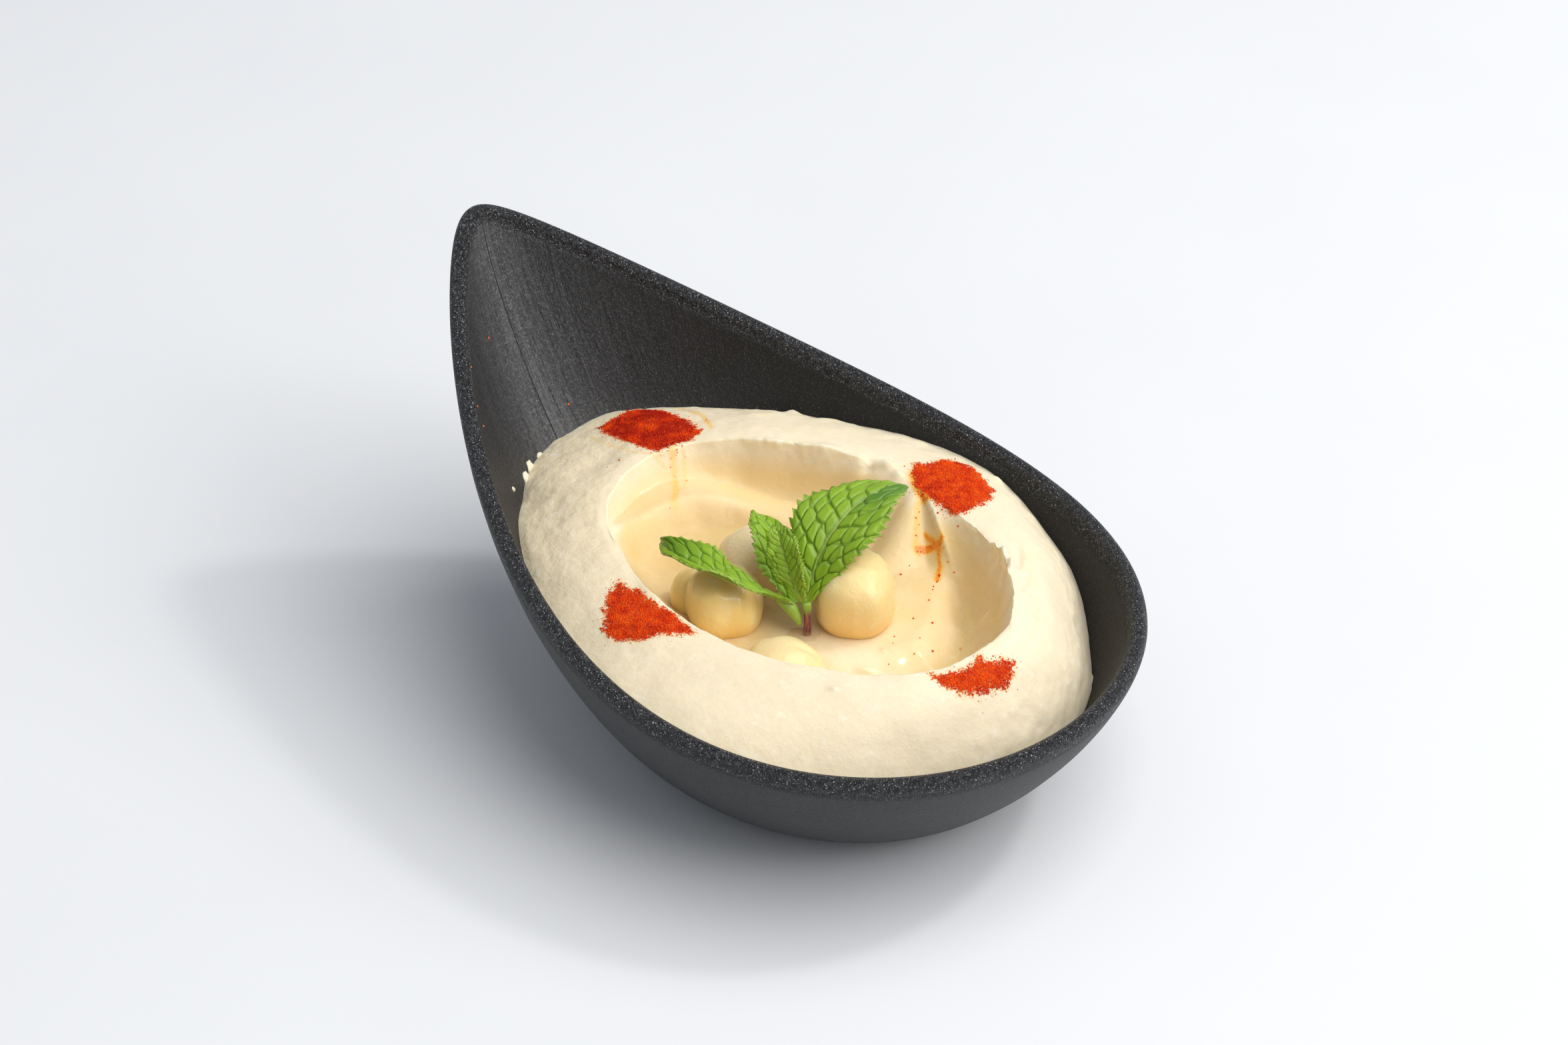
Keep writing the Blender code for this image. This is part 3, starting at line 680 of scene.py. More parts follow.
def hummusPaste():
    paint = Paint("hummusPaste", specular=0.35)
    paint.feed("Subsurface Weight", 0.45)
    paint.feed("Subsurface Radius", (1.0, 0.8, 0.5))
    paint.feed("Subsurface Scale", 2.2 * mm)
    fine = paint.noise(0.42 * mm, detail=3.0, rough=0.65)
    grains = paint.noise(0.95 * mm, detail=2.0, rough=0.55)
    broad = paint.noise(7.0 * mm, detail=3.0, rough=0.55)
    pale = paint.noise(1.8 * mm, detail=3.0, rough=0.6)
    oiled, soaked, wet = paint.mask("oiled"), paint.mask("soaked"), paint.mask("wetRed")
    coarse, glint, drip = paint.mask("coarse"), paint.mask("glint"), paint.mask("drip")
    base = paint.mix((broad * 1.2 - 0.1).clipped(), (0.90, 0.765, 0.53), (0.94, 0.81, 0.59))
    # painted shade: the grainy flank towards the tip is painted darker
    base = paint.mix((coarse * (0.45 + 0.4 * broad)).clipped(), base, (0.82, 0.69, 0.46))
    # painted shade: darker where the grain bumps dip, most of all on the grainy flank
    base = paint.mix((0.52 - grains).clipped() * (0.4 + 0.9 * coarse), base, (0.78, 0.62, 0.38))
    base = paint.mix(pale.between(0.56, 0.72) * 0.45, base, (0.97, 0.88, 0.71))
    base = paint.mix(soaked, base, (0.82, 0.55, 0.175))
    stainEdge = paint.noise(0.8 * mm, detail=4.0, rough=0.75)
    streak = (drip * 1.5 + 1.6 * (stainEdge - 0.5) * (1.0 - drip)).clipped() * drip.between(0.05, 0.4)
    base = paint.mix(streak, base, paint.mix(drip.between(0.35, 0.8), (0.95, 0.56, 0.09), (0.90, 0.30, 0.01)))
    # the powder's edge frays in the grain of two noises added to the distance from its outline
    frayed = paint.mask("patch") + 2.6 * (paint.noise(1.8 * mm, detail=4.0, rough=0.6) - 0.5) + 3.6 * (fine - 0.5)
    fringe, core = frayed.between(-0.5, 0.0), frayed.between(0.05, 0.45)
    base = paint.mix(fringe * 0.40, base, (0.95, 0.42, 0.05))
    speckled = paint.mix(stainEdge.between(0.38, 0.66), (0.62, 0.030, 0.002), (0.92, 0.130, 0.006))
    red = paint.mix(wet, speckled, paint.mix(stainEdge.between(0.42, 0.68), (0.60, 0.008, 0.0003), (0.92, 0.075, 0.001)))
    base = paint.mix(core, base, red)
    paint.feed("Base Color", base)
    paint.feed("Roughness", 0.55 - 0.12 * oiled - 0.15 * drip + 0.2 * (fine - 0.5) + 0.08 * coarse + 0.25 * core * (1.0 - 0.5 * wet))
    shine = paint.noise(2.6 * mm, detail=1.0).between(0.50, 0.66)
    paint.feed("Coat Weight", (oiled * (0.10 + 0.35 * shine) + glint + 0.4 * drip).clipped() * (1.0 - 0.8 * core))
    paint.feed("Coat Roughness", 0.10)
    height = fine * (0.20 + 0.30 * coarse + 1.2 * core) + grains * (0.25 + 0.75 * coarse) + shine * oiled * 0.5
    paint.feed("Normal", paint.bump(height * (1.0 - 0.55 * oiled), 0.24 * mm, 0.7))
    return paint


def hummusGrid(turns, shares):
    turn = np.arange(turns) * 360.0 / turns
    turn = turn[None] + 0.0 * shares[:, None]
    share = shares[:, None] + 0.0 * turn
    return turn, share, moundPoint(turn, share, -0.15 * mm)


def makeHummus(turns=470, wellRows=104, flankRows=84):
    # share runs closer together at the lip, then the skin goes on under the mound to the bowl floor
    well = 1.0 - (1.0 - np.linspace(0.012, 1.0, wellRows)) ** 1.25
    flank = 1.0 + np.linspace(0.0, 1.0, flankRows + 1)[1:] ** 1.25
    turn, share, grid = hummusGrid(turns, np.concatenate([well, flank]))
    normal = normalsOf(grid)
    lip = np.exp(-(((share - 1.0) / 0.035) ** 2))
    for at, place, height, wide, deep in lumps.values():
        middle = moundPoint(np.array([at]), np.array([place]))[0]
        out = (middle[:2] - [mound["wellX"], mound["wellY"]]) / np.linalg.norm(
            middle[:2] - [mound["wellX"], mound["wellY"]])
        offset = grid[..., :2] - middle[:2]
        across = (offset @ out) / (deep * mm)
        along = (offset @ np.array([-out[1], out[0]])) / (wide * mm)
        grid[..., 2] += height * mm * np.exp(-(across**2) - along**2)
    # left flank towards the tip and the front is grainy, the rest smooth; the same mask paints shade on that flank's
    # colour
    coarse = ease((share - 1.03) / 0.1) * swell(turn, 335, 55) + 0.25 * ease((share - 1.1) / 0.2)
    coarse = np.clip(coarse + 0.25 * lip, 0.0, 1.0)
    inWell = 1.0 - ease((share - 0.93) / 0.07)
    relief = 0.36 * cloudy(grid, 9.0 * mm, 2) + 0.14 * cloudy(grid, 3.2 * mm, 2) * (0.5 + coarse)
    relief += 0.13 * cloudy(grid, 1.7 * mm, 2) * (0.10 + coarse)
    relief = relief * (1.0 - 0.55 * inWell)
    torn = 0.25 + 0.75 * ease((turn - 20.0) / 30.0) * (1.0 - ease((turn - 175.0) / 40.0))
    ragged = lip * torn * (0.26 * cloudy(grid, 1.6 * mm, 2) + 0.16 * cloudy(grid, 0.8 * mm))
    nearWall = ease((share - 1.5) / 0.3) * ease((turn - 10.0) / 30.0) * (1.0 - ease((turn - 170.0) / 40.0))
    ragged += nearWall * (0.30 * cloudy(grid, 2.6 * mm, 2) + 0.10 * cloudy(grid, 1.0 * mm))
    fade = 1.0 - ease((share - 1.9) / 0.1)
    grid = grid + normal * ((relief + ragged) * fade * mm)[..., None]
    beads = np.zeros(share.shape)
    for x, y, height, long_, wide in glints:
        offset = grid[..., :2] / mm - (x, y)
        slant = offset @ np.array([0.8, 0.6]) / long_, offset @ np.array([-0.6, 0.8]) / wide
        bead = np.exp(-(slant[0] ** 2) - slant[1] ** 2) * (share < 1.3)
        grid[..., 2] += 1.6 * height * mm * bead
        beads = np.maximum(beads, bead)
    edge = edgeHeight(turn[0])
    rimZ = rimLine(turn[0])[1]
    edgeShare = (edge - bowl["floor"]) / (rimZ - bowl["floor"])
    skirt = [wallPoint(turn[0], edgeShare * part, -1, 0.1 * mm) for part in (0.92, 0.7, 0.45, 0.25, 0.1, 0.02)]
    skirtRows = len(skirt)
    full = np.concatenate([grid, np.array(skirt)])

    def spread(mask):
        return np.concatenate([mask, np.zeros((skirtRows, turns))])

    height = grid[..., 2]
    wet = inWell * ease((33.4 * mm - height) / (2.5 * mm))
    backWall = swell(turn, 60.0, 38.0) * ease((share - 0.55) / 0.2)
    endWall = swell(turn, 150.0, 50.0) * ease((share - 0.6) / 0.15)
    milky = np.exp(-((grid[..., 0] / mm - 28.0) / 7.0) ** 2 - ((grid[..., 1] / mm + 7.5) / 5.5) ** 2)
    soaked = wet * (0.58 + 0.16 * cloudy(grid, 6.0 * mm, 2) + 0.06 * backWall - 0.08 * endWall - 0.50 * milky)
    masks = {
        "oiled": spread(np.clip(wet * (0.75 + 0.35 * cloudy(grid, 5.0 * mm, 2)), 0.0, 1.0)),
        "soaked": spread(np.clip(soaked, 0.0, 1.0)),
        "patch": np.concatenate([np.clip(patchNear(grid), -4.0, 4.0), np.full((skirtRows, turns), -4.0)]),
        "drip": spread(dripMask(grid)),
        "coarse": spread(coarse),
        "glint": spread(np.clip(2.0 * beads, 0.0, 1.0)),
        "wetRed": spread(wetRed(grid)),
    }
    made = shell("hummusMound", full, hummusPaste(), masks)
    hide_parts("hummus")
    return grid, normalsOf(grid), patchMask(grid), masks["drip"][:len(grid)]


# Chickpeas: flattened balls with a cleft and a beak, at listed middles and sizes

peas = {
    # node: half sizes (mm), turn, lean (degrees), wrinkle depth (mm), warm tint 0 to 1, squareness
    "chickpea_right": ((7.9, 7.2, 8.1), 128.0, 10.0, 0.45, 0.62, 0.12),
    "chickpea_left": ((6.9, 6.9, 6.6), 150.0, -10.0, 0.65, 0.85, 0.10),
    "chickpea_back": ((7.2, 6.7, 6.6), 80.0, 8.0, 0.40, 0.18, 0.10),
    "chickpea_front": ((6.9, 6.3, 5.8), 50.0, 4.0, 0.35, 0.40, 0.12),
    "chickpea_half": ((5.2, 4.8, 4.8), 30.0, 0.0, 0.20, 0.85, 0.08),
}
peaCentres = {
    # the half pea's solid is cut, so its middle is given as for the others: mm
    "chickpea_right": (21.0, 0.5, 29.9),
    "chickpea_left": (6.2, -14.2, 28.5),
    "chickpea_back": (1.3, -2.0, 27.3),
    "chickpea_front": (23.2, -18.3, 25.7),
    "chickpea_half": (0.0, -13.5, 26.5),
}


def cookedPea():
    paint = Paint("cookedPea", roughness=0.4, specular=0.45)
    paint.feed("Subsurface Weight", 0.60)
    paint.feed("Subsurface Radius", (1.0, 0.66, 0.26))
    paint.feed("Subsurface Scale", 3.2 * mm)
    broad = paint.noise(4.0 * mm, detail=3.0, rough=0.55)
    fine = paint.noise(0.55 * mm, detail=3.0, rough=0.65)
    warm, low = paint.mask("warm"), paint.mask("low")
    base = paint.mix(warm, (0.90, 0.74, 0.46), (0.95, 0.66, 0.22))
    # painted glow: the pea's lower part is painted a deeper orange, for light shining through it
    base = paint.mix((low * 0.75).clipped(), base, paint.mix(warm, (0.86, 0.62, 0.30), (0.90, 0.48, 0.08)))
    base = paint.mix(broad.between(0.5, 0.75) * 0.55, base, (0.97, 0.80, 0.44))
    paint.feed("Base Color", base)
    paint.feed("Roughness", 0.34 + 0.30 * broad)
    paint.feed("Normal", paint.bump(fine * 0.7 + broad * 1.2, 0.30 * mm, 0.6))
    paint.feed("Coat Weight", 0.25 + 0.65 * broad.between(0.42, 0.62))
    paint.feed("Coat Roughness", 0.09)
    return paint


def peaPoints(name, rows=96, columns=128):
    # a ball of unit directions, pushed towards a cube by a power of its largest part, then
    # stretched by 1 + beak - cleft + folds, sized and turned
    half, turn, lean, wrinkle, _, block = peas[name]
    latitude = np.linspace(0.0, math.pi, rows + 1)[1:-1, None]
    longitude = (np.arange(columns) * 2.0 * math.pi / columns)[None]
    ball = np.stack([
        np.cos(latitude) + 0.0 * longitude,
        np.sin(latitude) * np.cos(longitude),
        np.sin(latitude) * np.sin(longitude),
    ], axis=-1)
    beak = 0.07 * np.exp(-((latitude / 0.42) ** 2))
    cleft = 0.07 * np.exp(-((ball[..., 1] / 0.13) ** 2)) * ease(1.2 * ball[..., 0])
    fourth = (np.abs(ball) ** 4).sum(axis=-1)
    cube = fourth ** (-block / 2.0) * (1.0 - 0.55 * block)
    seed = 3.0 * len(name) + turn / 10.0
    folds = wrinkle * (cloudy(ball + seed, 0.8, 2) - 0.5 * np.abs(cloudy(ball * (1.0, 1.0, 0.6) + seed, 0.42)))
    dimple = np.exp(-(((ball + [0.35, 0.55, -0.62]) / 0.20) ** 2).sum(axis=-1))
    reach = cube * (1.0 + beak - cleft) + (folds - 0.35 * wrinkle * dimple) * mm / (half[0] * mm)
    ball = ball * reach[..., None] * np.array(half) * mm
    around, across = math.radians(turn), math.radians(lean)
    x = ball[..., 0] * math.cos(across) - ball[..., 2] * math.sin(across)
    z = ball[..., 0] * math.sin(across) + ball[..., 2] * math.cos(across)
    plan = (x * math.cos(around) - ball[..., 1] * math.sin(around),
            x * math.sin(around) + ball[..., 1] * math.cos(around))
    return np.stack([plan[0], plan[1], z], axis=-1) + np.array(peaCentres[name]) * mm


def makePeas():
    paint = cookedPea()
    for name, (half, _, _, _, warm, _) in peas.items():
        grid = peaPoints(name)
        if name == "chickpea_half":             # pressed against its neighbour: pushed out of it
            neighbour = np.array(peaCentres["chickpea_left"]) * mm
            size = np.array(peas["chickpea_left"][0]) * mm - 1.2 * mm
            part = (grid - neighbour) / size
            depth = np.linalg.norm(part, axis=-1, keepdims=True)
            grid = np.where(depth < 1.0, neighbour + part / depth * size, grid)
        middle = peaCentres[name][2] * mm
        # painted glow: low marks the lower part, painted deeper orange as if lit through
        low = ease((middle + 1.0 * mm - grid[..., 2]) / (5.0 * mm))
        masks = {"warm": np.full(low.shape, warm), "low": low}
        made = shell(name.replace("_", "") + "Skin", grid, paint, masks)
        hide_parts(name)


# Oil: level pools that reach just into the hummus round them

pools = {
    # node: turn from, turn to, share from, share to, level (mm)
    "oil_trough": (94.0, 278.0, 0.42, 0.97, 23.9),
    "oil_basin": (-88.0, 92.0, 0.02, 0.86, 25.6),
}


def oliveOil():
    paint = Paint("oliveOil", roughness=0.04, specular=0.5)
    depth = paint.mask("depth")
    waver = paint.noise(5.0 * mm, detail=2.0)
    paint.feed("Base Color", paint.mix(depth, (0.88, 0.72, 0.32), (0.84, 0.66, 0.24)))
    paint.feed("Alpha", (0.45 * depth).clipped())
    paint.feed("Roughness", 0.03 + 0.05 * waver)
    paint.feed("Normal", paint.bump(waver, 0.25 * mm, 0.4))
    return paint


def makePools(turns=150, shares=60):
    # top: the level, dropped below the hummus outside the pool; bottom: hidden below the surface
    paint = oliveOil()
    for node, (start, stop, near, far, level) in pools.items():
        turn = np.linspace(start, stop, turns)[None] + np.zeros((shares, 1))
        share = np.linspace(near, far, shares)[:, None] + 0.0 * turn
        ground = moundPoint(turn % 360.0, share)
        depth = level * mm - ground[..., 2]
        top = ground.copy()
        top[..., 2] = np.where(depth > -0.1 * mm, level * mm, ground[..., 2] - 0.6 * mm)
        under = ground.copy()
        under[..., 2] = np.minimum(top[..., 2] - 0.05 * mm, ground[..., 2] - 0.6 * mm)
        # one closed strip per turn: up over the top and back below
        ring = np.concatenate([top, under[::-1]], axis=0).transpose(1, 0, 2)
        deep = ease((depth - 0.2 * mm) / (2.4 * mm))
        deep = np.concatenate([deep, deep[::-1]], axis=0).T
        made = shell(node.replace("_", "") + "Surface", ring, paint, {"depth": deep})
        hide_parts(node)


# Mint: a short stem and four leaves, each a folded blade with quilted cells and a toothed edge

leaves = {
    # node: base, middle and tip of the rib (mm), the side its left blade goes to, fold of each
    # blade (degrees), blade widths (mm), outline's two powers, side veins, quilting depth (mm),
    # curl of the tip (mm), cells to the millimetre across, how much painted shade darkens the left blade's tip
    "mint_leaf_large": {
        "rib": ((18.5, -7.6, 31.5), (16.8, 1.5, 41.5), (16.6, 16.4, 42.7)), "side": (-0.87, -0.41, -0.23),
        "folds": (12.0, 6.0), "widths": (8.9, 7.8), "powers": (1.14, 0.85), "veins": 8.0, "quilt": 0.50, "curl": 1.0,
        "cells": 0.50, "deep": 0.85,
    },
    "mint_leaf_back": {
        "rib": ((17.2, -7.9, 31.1), (9.4, -5.3, 37.7), (3.3, -3.9, 39.7)), "side": (-0.71, -0.49, 0.48),
        "folds": (10.0, 4.0), "widths": (5.2, 4.9), "powers": (0.77, 0.79), "veins": 7.0, "quilt": 0.45, "curl": 0.4,
        "cells": 0.60, "deep": 0.0,
    },
    "mint_leaf_small": {
        "rib": ((19.0, -9.1, 32.7), (15.4, -9.2, 39.4), (11.5, -7.6, 42.8)), "side": (-0.94, -0.30, 0.09),
        "folds": (16.0, 23.0), "widths": (3.0, 3.5), "powers": (0.99, 0.82), "veins": 11.0, "quilt": 0.28, "curl": 0.3,
        "cells": 0.55, "deep": 0.0,
    },
    "mint_leaf_left": {
        "rib": ((17.1, -9.6, 31.6), (8.3, -18.3, 37.3), (-6.8, -16.4, 35.3)), "side": (0.83, -0.43, 0.11),
        "folds": (33.0, 17.0), "widths": (2.5, 5.9), "powers": (1.3, 1.02), "veins": 9.0, "quilt": 0.38, "curl": 0.8,
        "cells": 0.60, "deep": 0.35,
    },
}
leafThickness = 0.3 * mm
leafEnd = 0.5 * mm


def through(start, middle, end, share):
    # the quadratic curve through three points for shares 0, 0.5 and 1
    share = np.asarray(share)[..., None]
    bend = middle * 2.0 - (start + end) * 0.5
    return start * (1.0 - share) ** 2 + bend * 2.0 * share * (1.0 - share) + end * share**2


def mintLeaf():
    paint = Paint("mintLeaf", specular=0.45)
    paint.feed("Subsurface Weight", 0.10)
    paint.feed("Subsurface Radius", (0.6, 1.0, 0.2))
    paint.feed("Subsurface Scale", 0.6 * mm)
    broad = paint.noise(3.5 * mm, detail=3.0, rough=0.6)
    fine = paint.noise(0.25 * mm, detail=3.0, rough=0.7)
    vein, cell, edge, deep = paint.mask("vein"), paint.mask("cell"), paint.mask("edge"), paint.mask("deep")
    # painted light and shade of the quilting: the cell pillows lighter, the grooves between them darker
    base = paint.mix(cell, (0.085, 0.190, 0.003), (0.255, 0.430, 0.014))
    base = paint.mix((broad * 1.4 - 0.3).clipped() * 0.45, base, (0.34, 0.49, 0.025))
    # painted shade: the left blade's tip is painted a deeper green
    base = paint.mix(deep, base, (0.075, 0.215, 0.008))
    base = paint.mix((vein * 0.85).clipped(), base, (0.44, 0.55, 0.12))
    base = paint.mix((edge * 0.7).clipped(), base, (0.42, 0.53, 0.10))
    paint.feed("Base Color", base)
    paint.feed("Roughness", 0.34 + 0.20 * broad - 0.12 * deep)
    paint.feed("Normal", paint.bump(fine, 0.07 * mm, 0.6))
    return paint


def cellPattern(along, across, seed):
    # distance to the nearest jittered point of a lattice, and how much further the next one is
    spot = np.stack([along, across], axis=-1)
    corner = np.floor(spot).astype(int)
    nearest = np.full(along.shape, 9.0)
    second = np.full(along.shape, 9.0)
    for stepA in (-1, 0, 1):
        for stepB in (-1, 0, 1):
            home = corner + (stepA, stepB)
            jitter = [lattice[home[..., 0] % 32, home[..., 1] % 32, (seed + part) % 32] for part in (3, 19)]
            point = home + 0.5 + (np.stack(jitter, axis=-1) - 0.5) * (0.45, 0.75)
            gap = np.linalg.norm(spot - point, axis=-1)
            second = np.minimum(second, np.maximum(nearest, gap))
            nearest = np.minimum(nearest, gap)
    return nearest, second - nearest


def leafPoints(node, rows=190, columns=121):
    # rib curve + blade direction times width times the way across; the width is the outline's sine
    # power plus forward teeth; cells bulge between side veins that sweep towards the tip
    leaf = leaves[node]
    start, middle, end = [np.array(p) * mm for p in leaf["rib"]]
    side = np.array(leaf["side"])
    share = np.linspace(0.0, 1.0, rows)
    rib = through(start, middle, end, share)
    along = through(start, middle, end, share + 0.01) - through(start, middle, end, share - 0.01)
    along /= np.linalg.norm(along, axis=-1, keepdims=True)
    left = side - along * (along @ side)[:, None]
    left /= np.linalg.norm(left, axis=-1, keepdims=True)
    face = np.cross(along, left)
    way = np.linspace(-1.0, 1.0, columns)[None, :]
    s = share[:, None]
    blade = (way > 0.0).astype(int)
    fold = np.radians(np.array(leaf["folds"]))[blade]
    spread = np.sin(math.pi * 0.98 * s ** leaf["powers"][0]) ** leaf["powers"][1]
    teeth = leaf["veins"] * 2.2 * s + 0.35 * blade
    tooth = (teeth % 1.0) ** 1.6
    width = leafEnd + (np.array(leaf["widths"])[blade] * mm - leafEnd) * spread
    # each tooth points forwards: its points move out and towards the tip
    out = np.abs(way)
    rim = ease((out - 0.80) / 0.20)
    width = width * (1.0 + (0.03 - 0.13 * (1.0 - tooth)) * rim * ease(s / 0.12))
    place = np.stack([s * leaf["veins"] + 0.0 * out, out * 5.0 + 9.0 * blade + 0.0 * s, 0.0 * s + 0.0 * out], axis=-1)
    waver = cloudy(place + len(node), 1.7, 2)
    phase = leaf["veins"] * (s - 0.22 * out**1.25) + 0.5 * blade + 0.16 * waver
    nearVein = np.abs((phase + 0.5) % 1.0 - 0.5) * 2.0          # 0 on a side vein, 1 midway
    reach = out * width / mm
    near, gap = cellPattern(phase, reach * leaf["cells"] + 40.0 * blade, len(node))
    pillow = ease(gap / 0.30) * (0.55 + 0.45 * ease(nearVein / 0.35))
    pillow = pillow * (0.75 + 0.25 * cloudy(place, 0.9))
    ribGap = ease(out / 0.10)
    relief = leaf["quilt"] * mm * pillow * ribGap * (1.0 - 0.6 * rim) * ease(s / 0.08) * ease((1.0 - s) / 0.05)
    cup = -0.06 * width * out**2 * 2.0 + leaf["curl"] * mm * (s**4) * -1.0
    wave = 0.45 * mm * np.sin(leaf["veins"] * 2.0 * s + 2.0 * blade) * out**3 * ease(s / 0.2)
    lift = relief + cup + wave
    reach = out * width
    sideways = left[:, None] * (-np.sign(way) * np.cos(fold) * reach)[..., None]
    upwards = face[:, None] * (np.sin(fold) * reach + lift)[..., None]
    grid = rib[:, None] + sideways + upwards
    ribLine = 1.0 - ease((out * width / mm - 0.08) / 0.22)
    sideLine = 0.55 * (1.0 - ease(nearVein / 0.16)) * (1.0 - 0.5 * out)
    # painted shade: the left blade darkens towards its tip
    deep = leaf["deep"] * ease((s - 0.50 - 0.25 * out) / 0.2) * blade + 0.0 * out
    masks = {
        "vein": np.maximum(ribLine, sideLine),
        # painted light and shade: lighter on the pillows, darker in the grooves
        "cell": np.clip(0.10 + 0.95 * pillow * ribGap, 0.0, 1.0),
        "edge": rim * ease((out - 0.95) / 0.05),
        "deep": deep,
    }
    return grid, {key: value * np.ones(out.shape) * np.ones((rows, 1)) for key, value in masks.items()}


def makeLeaves():
    paint = mintLeaf()
    for node in leaves:
        grid, masks = leafPoints(node)
        rows, columns, _ = grid.shape
        faces = [gridFaces(rows, columns, wrap=False)[:, ::-1]]
        name = "mintLeaf" + node.split("_")[-1].capitalize()
        made = putMesh(name, grid.reshape(-1, 3), faces, paint, masks)
        thick = made.modifiers.new("thickness", "SOLIDIFY")
        thick.thickness = leafThickness
        thick.offset = 0.0
        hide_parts(node)


def stemSkin():
    paint = Paint("mintStemSkin", roughness=0.3, specular=0.5)
    grain = paint.noise(0.5 * mm, detail=2.0, stretch=(1.0, 1.0, 0.2))
    green = paint.mask("green")
    base = paint.mix(grain.between(0.35, 0.65), (0.10, 0.020, 0.022), (0.34, 0.11, 0.08))
    leafGreen = paint.mix(grain, (0.20, 0.36, 0.03), (0.36, 0.50, 0.08))
    paint.feed("Base Color", paint.mix(green, base, leafGreen))
    paint.feed("Roughness", 0.22 + 0.2 * grain)
    paint.feed("Normal", paint.bump(grain, 0.10 * mm, 0.7))
    return paint


def tubeRings(path, radii, sides=20):
    # a profile carried along a path: at each point a circle of its own radius across the path
    path, radii = np.asarray(path, float), np.asarray(radii, float)
    along = np.gradient(path, axis=0)
    along /= np.linalg.norm(along, axis=-1, keepdims=True)
    guide = np.where(np.abs(along[:, :1]) < 0.9, [[1.0, 0.0, 0.0]], [[0.0, 1.0, 0.0]])
    across = np.cross(along, guide)
    across /= np.linalg.norm(across, axis=-1, keepdims=True)
    other = np.cross(along, across)
    angle = np.arange(sides) * 2.0 * math.pi / sides
    ring = across[:, None] * np.cos(angle)[None, :, None] + other[:, None] * np.sin(angle)[None, :, None]
    return path[:, None] + ring * radii[:, None, None]


def makeStem(rows=60):
    low, high = [np.array(corner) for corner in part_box("mint_stem")]
    middle = (low + high) / 2.0
    share = np.linspace(0.0, 1.0, rows)
    path = np.stack([
        middle[0] + 0.25 * mm * np.sin(math.pi * share),
        middle[1] + 0.0 * share,
        low[2] + (high[2] - low[2] + 0.9 * mm) * share,
    ], axis=-1)
    radii = (0.70 - 0.10 * share + 0.22 * ease((share - 0.72) / 0.2)) * mm
    grid = tubeRings(path, radii)
    angle = np.arange(grid.shape[1])[None] * 2.0 * math.pi / grid.shape[1]
    ribbed = 0.05 * mm * np.cos(4.0 * angle + 0.0 * share[:, None])
    grid = grid + normalsOf(grid) * ribbed[..., None]
    green = np.repeat(ease((share - 0.66) / 0.3)[:, None], grid.shape[1], axis=1)
    paint = stemSkin()
    made = shell("mintStemSkin", grid, paint, {"green": green})
    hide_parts("mint_stem")
    # the left leaf's stalk runs a little way down the stem, as a tapering sheath
    share = np.linspace(0.0, 1.0, 40)
    start, bend, end = [np.array(p) * mm for p in stalk["path"]]
    radii = through(*[np.array([r]) for r in stalk["radii"]], share)[:, 0] * mm
    grid = tubeRings(through(start, bend, end, share), radii)
    shell("mintStalk", grid, paint, {"green": np.ones(grid.shape[:2])})


stalk = {
    # start on the left leaf, middle and end on the stem (mm), radii there (mm)
    "path": ((14.6, -10.6, 32.0), (17.0, -9.6, 30.4), (18.1, -9.0, 27.6)),
    "radii": (0.55, 1.05, 0.35),
}


# Wet bits: a bead of oil round the foot of the stem, smears and crumbs of paste on the bowl wall

drop = {
    "middle": (18.7, -8.8, 25.5),               # mm
    "size": (2.6, 1.9, 0.9),                    # half sizes (mm)
    "turn": 40.0,                               # degrees
}
smears = {
    # name: middle (mm), half sizes along, across and out from the wall (mm), turn in its plane
    "leftSmear": ((-47.4, -5.8, 27.2), (1.0, 0.9, 0.45), 10.0),
    "leftSmearLow": ((-45.6, -9.6, 27.6), (1.5, 1.2, 0.5), 20.0),
    "leftSmearIn": ((-43.8, -12.4, 28.2), (1.4, 1.1, 0.5), 0.0),
    "leftDot": ((-39.8, -18.4, 31.0), (0.4, 0.5, 0.3), 0.0),
    "rightSmear": ((53.0, 21.5, 16.6), (4.6, 1.5, 0.35), 0.0),
}
wallCrumbs = [(-47.9, -19.6, 53.3), (-57.7, -6.7, 47.6), (-50.7, 4.6, 32.1), (-44.0, -21.5, 47.0), (-42.4, -22.4, 43.5)]    # paprika on the wall, mm


def dropOil():
    paint = Paint("dropOil", roughness=0.04, specular=0.5)
    thick = paint.mask("thick")
    paint.feed("Base Color", paint.mix(thick, (0.72, 0.55, 0.30), (0.50, 0.30, 0.14)))
    paint.feed("Alpha", (0.10 + 0.22 * thick).clipped())
    return paint


def blobPoints(middle, size, axes, seed, rough=0.25, rows=28, columns=40):
    # a ball whose reach wavers with noise, stretched to its three half sizes along three axes
    latitude = np.linspace(0.0, math.pi, rows + 1)[1:-1, None]
    longitude = (np.arange(columns) * 2.0 * math.pi / columns)[None]
    ball = np.stack([
        np.cos(latitude) + 0.0 * longitude,
        np.sin(latitude) * np.cos(longitude),
        np.sin(latitude) * np.sin(longitude),
    ], axis=-1)
    ball = ball * (1.0 + rough * cloudy(ball + seed, 0.7, 2))[..., None]
    return np.array(middle) * mm + (ball * np.array(size) * mm) @ np.array(axes)


def wallAxes(middle):
    # the bowl wall's outward normal near a point, from the wall's own formula, and two tangents
    turn, share = np.meshgrid(np.arange(0.0, 360.0, 1.5), np.linspace(0.05, 0.98, 90))
    wallGrid = wallPoint(turn, share, -1)
    gap = np.linalg.norm(wallGrid - np.array(middle) * mm, axis=-1)
    row, column = np.unravel_index(gap.argmin(), gap.shape)
    spot = wallGrid[row, column]
    round_ = wallGrid[row, (column + 1) % 240] - wallGrid[row, column - 1]
    up = wallGrid[min(row + 1, 89), column] - wallGrid[row - 1, column]
    round_ /= np.linalg.norm(round_)
    normal = np.cross(round_, up)
    normal /= np.linalg.norm(normal)
    return spot, round_, np.cross(normal, round_), normal


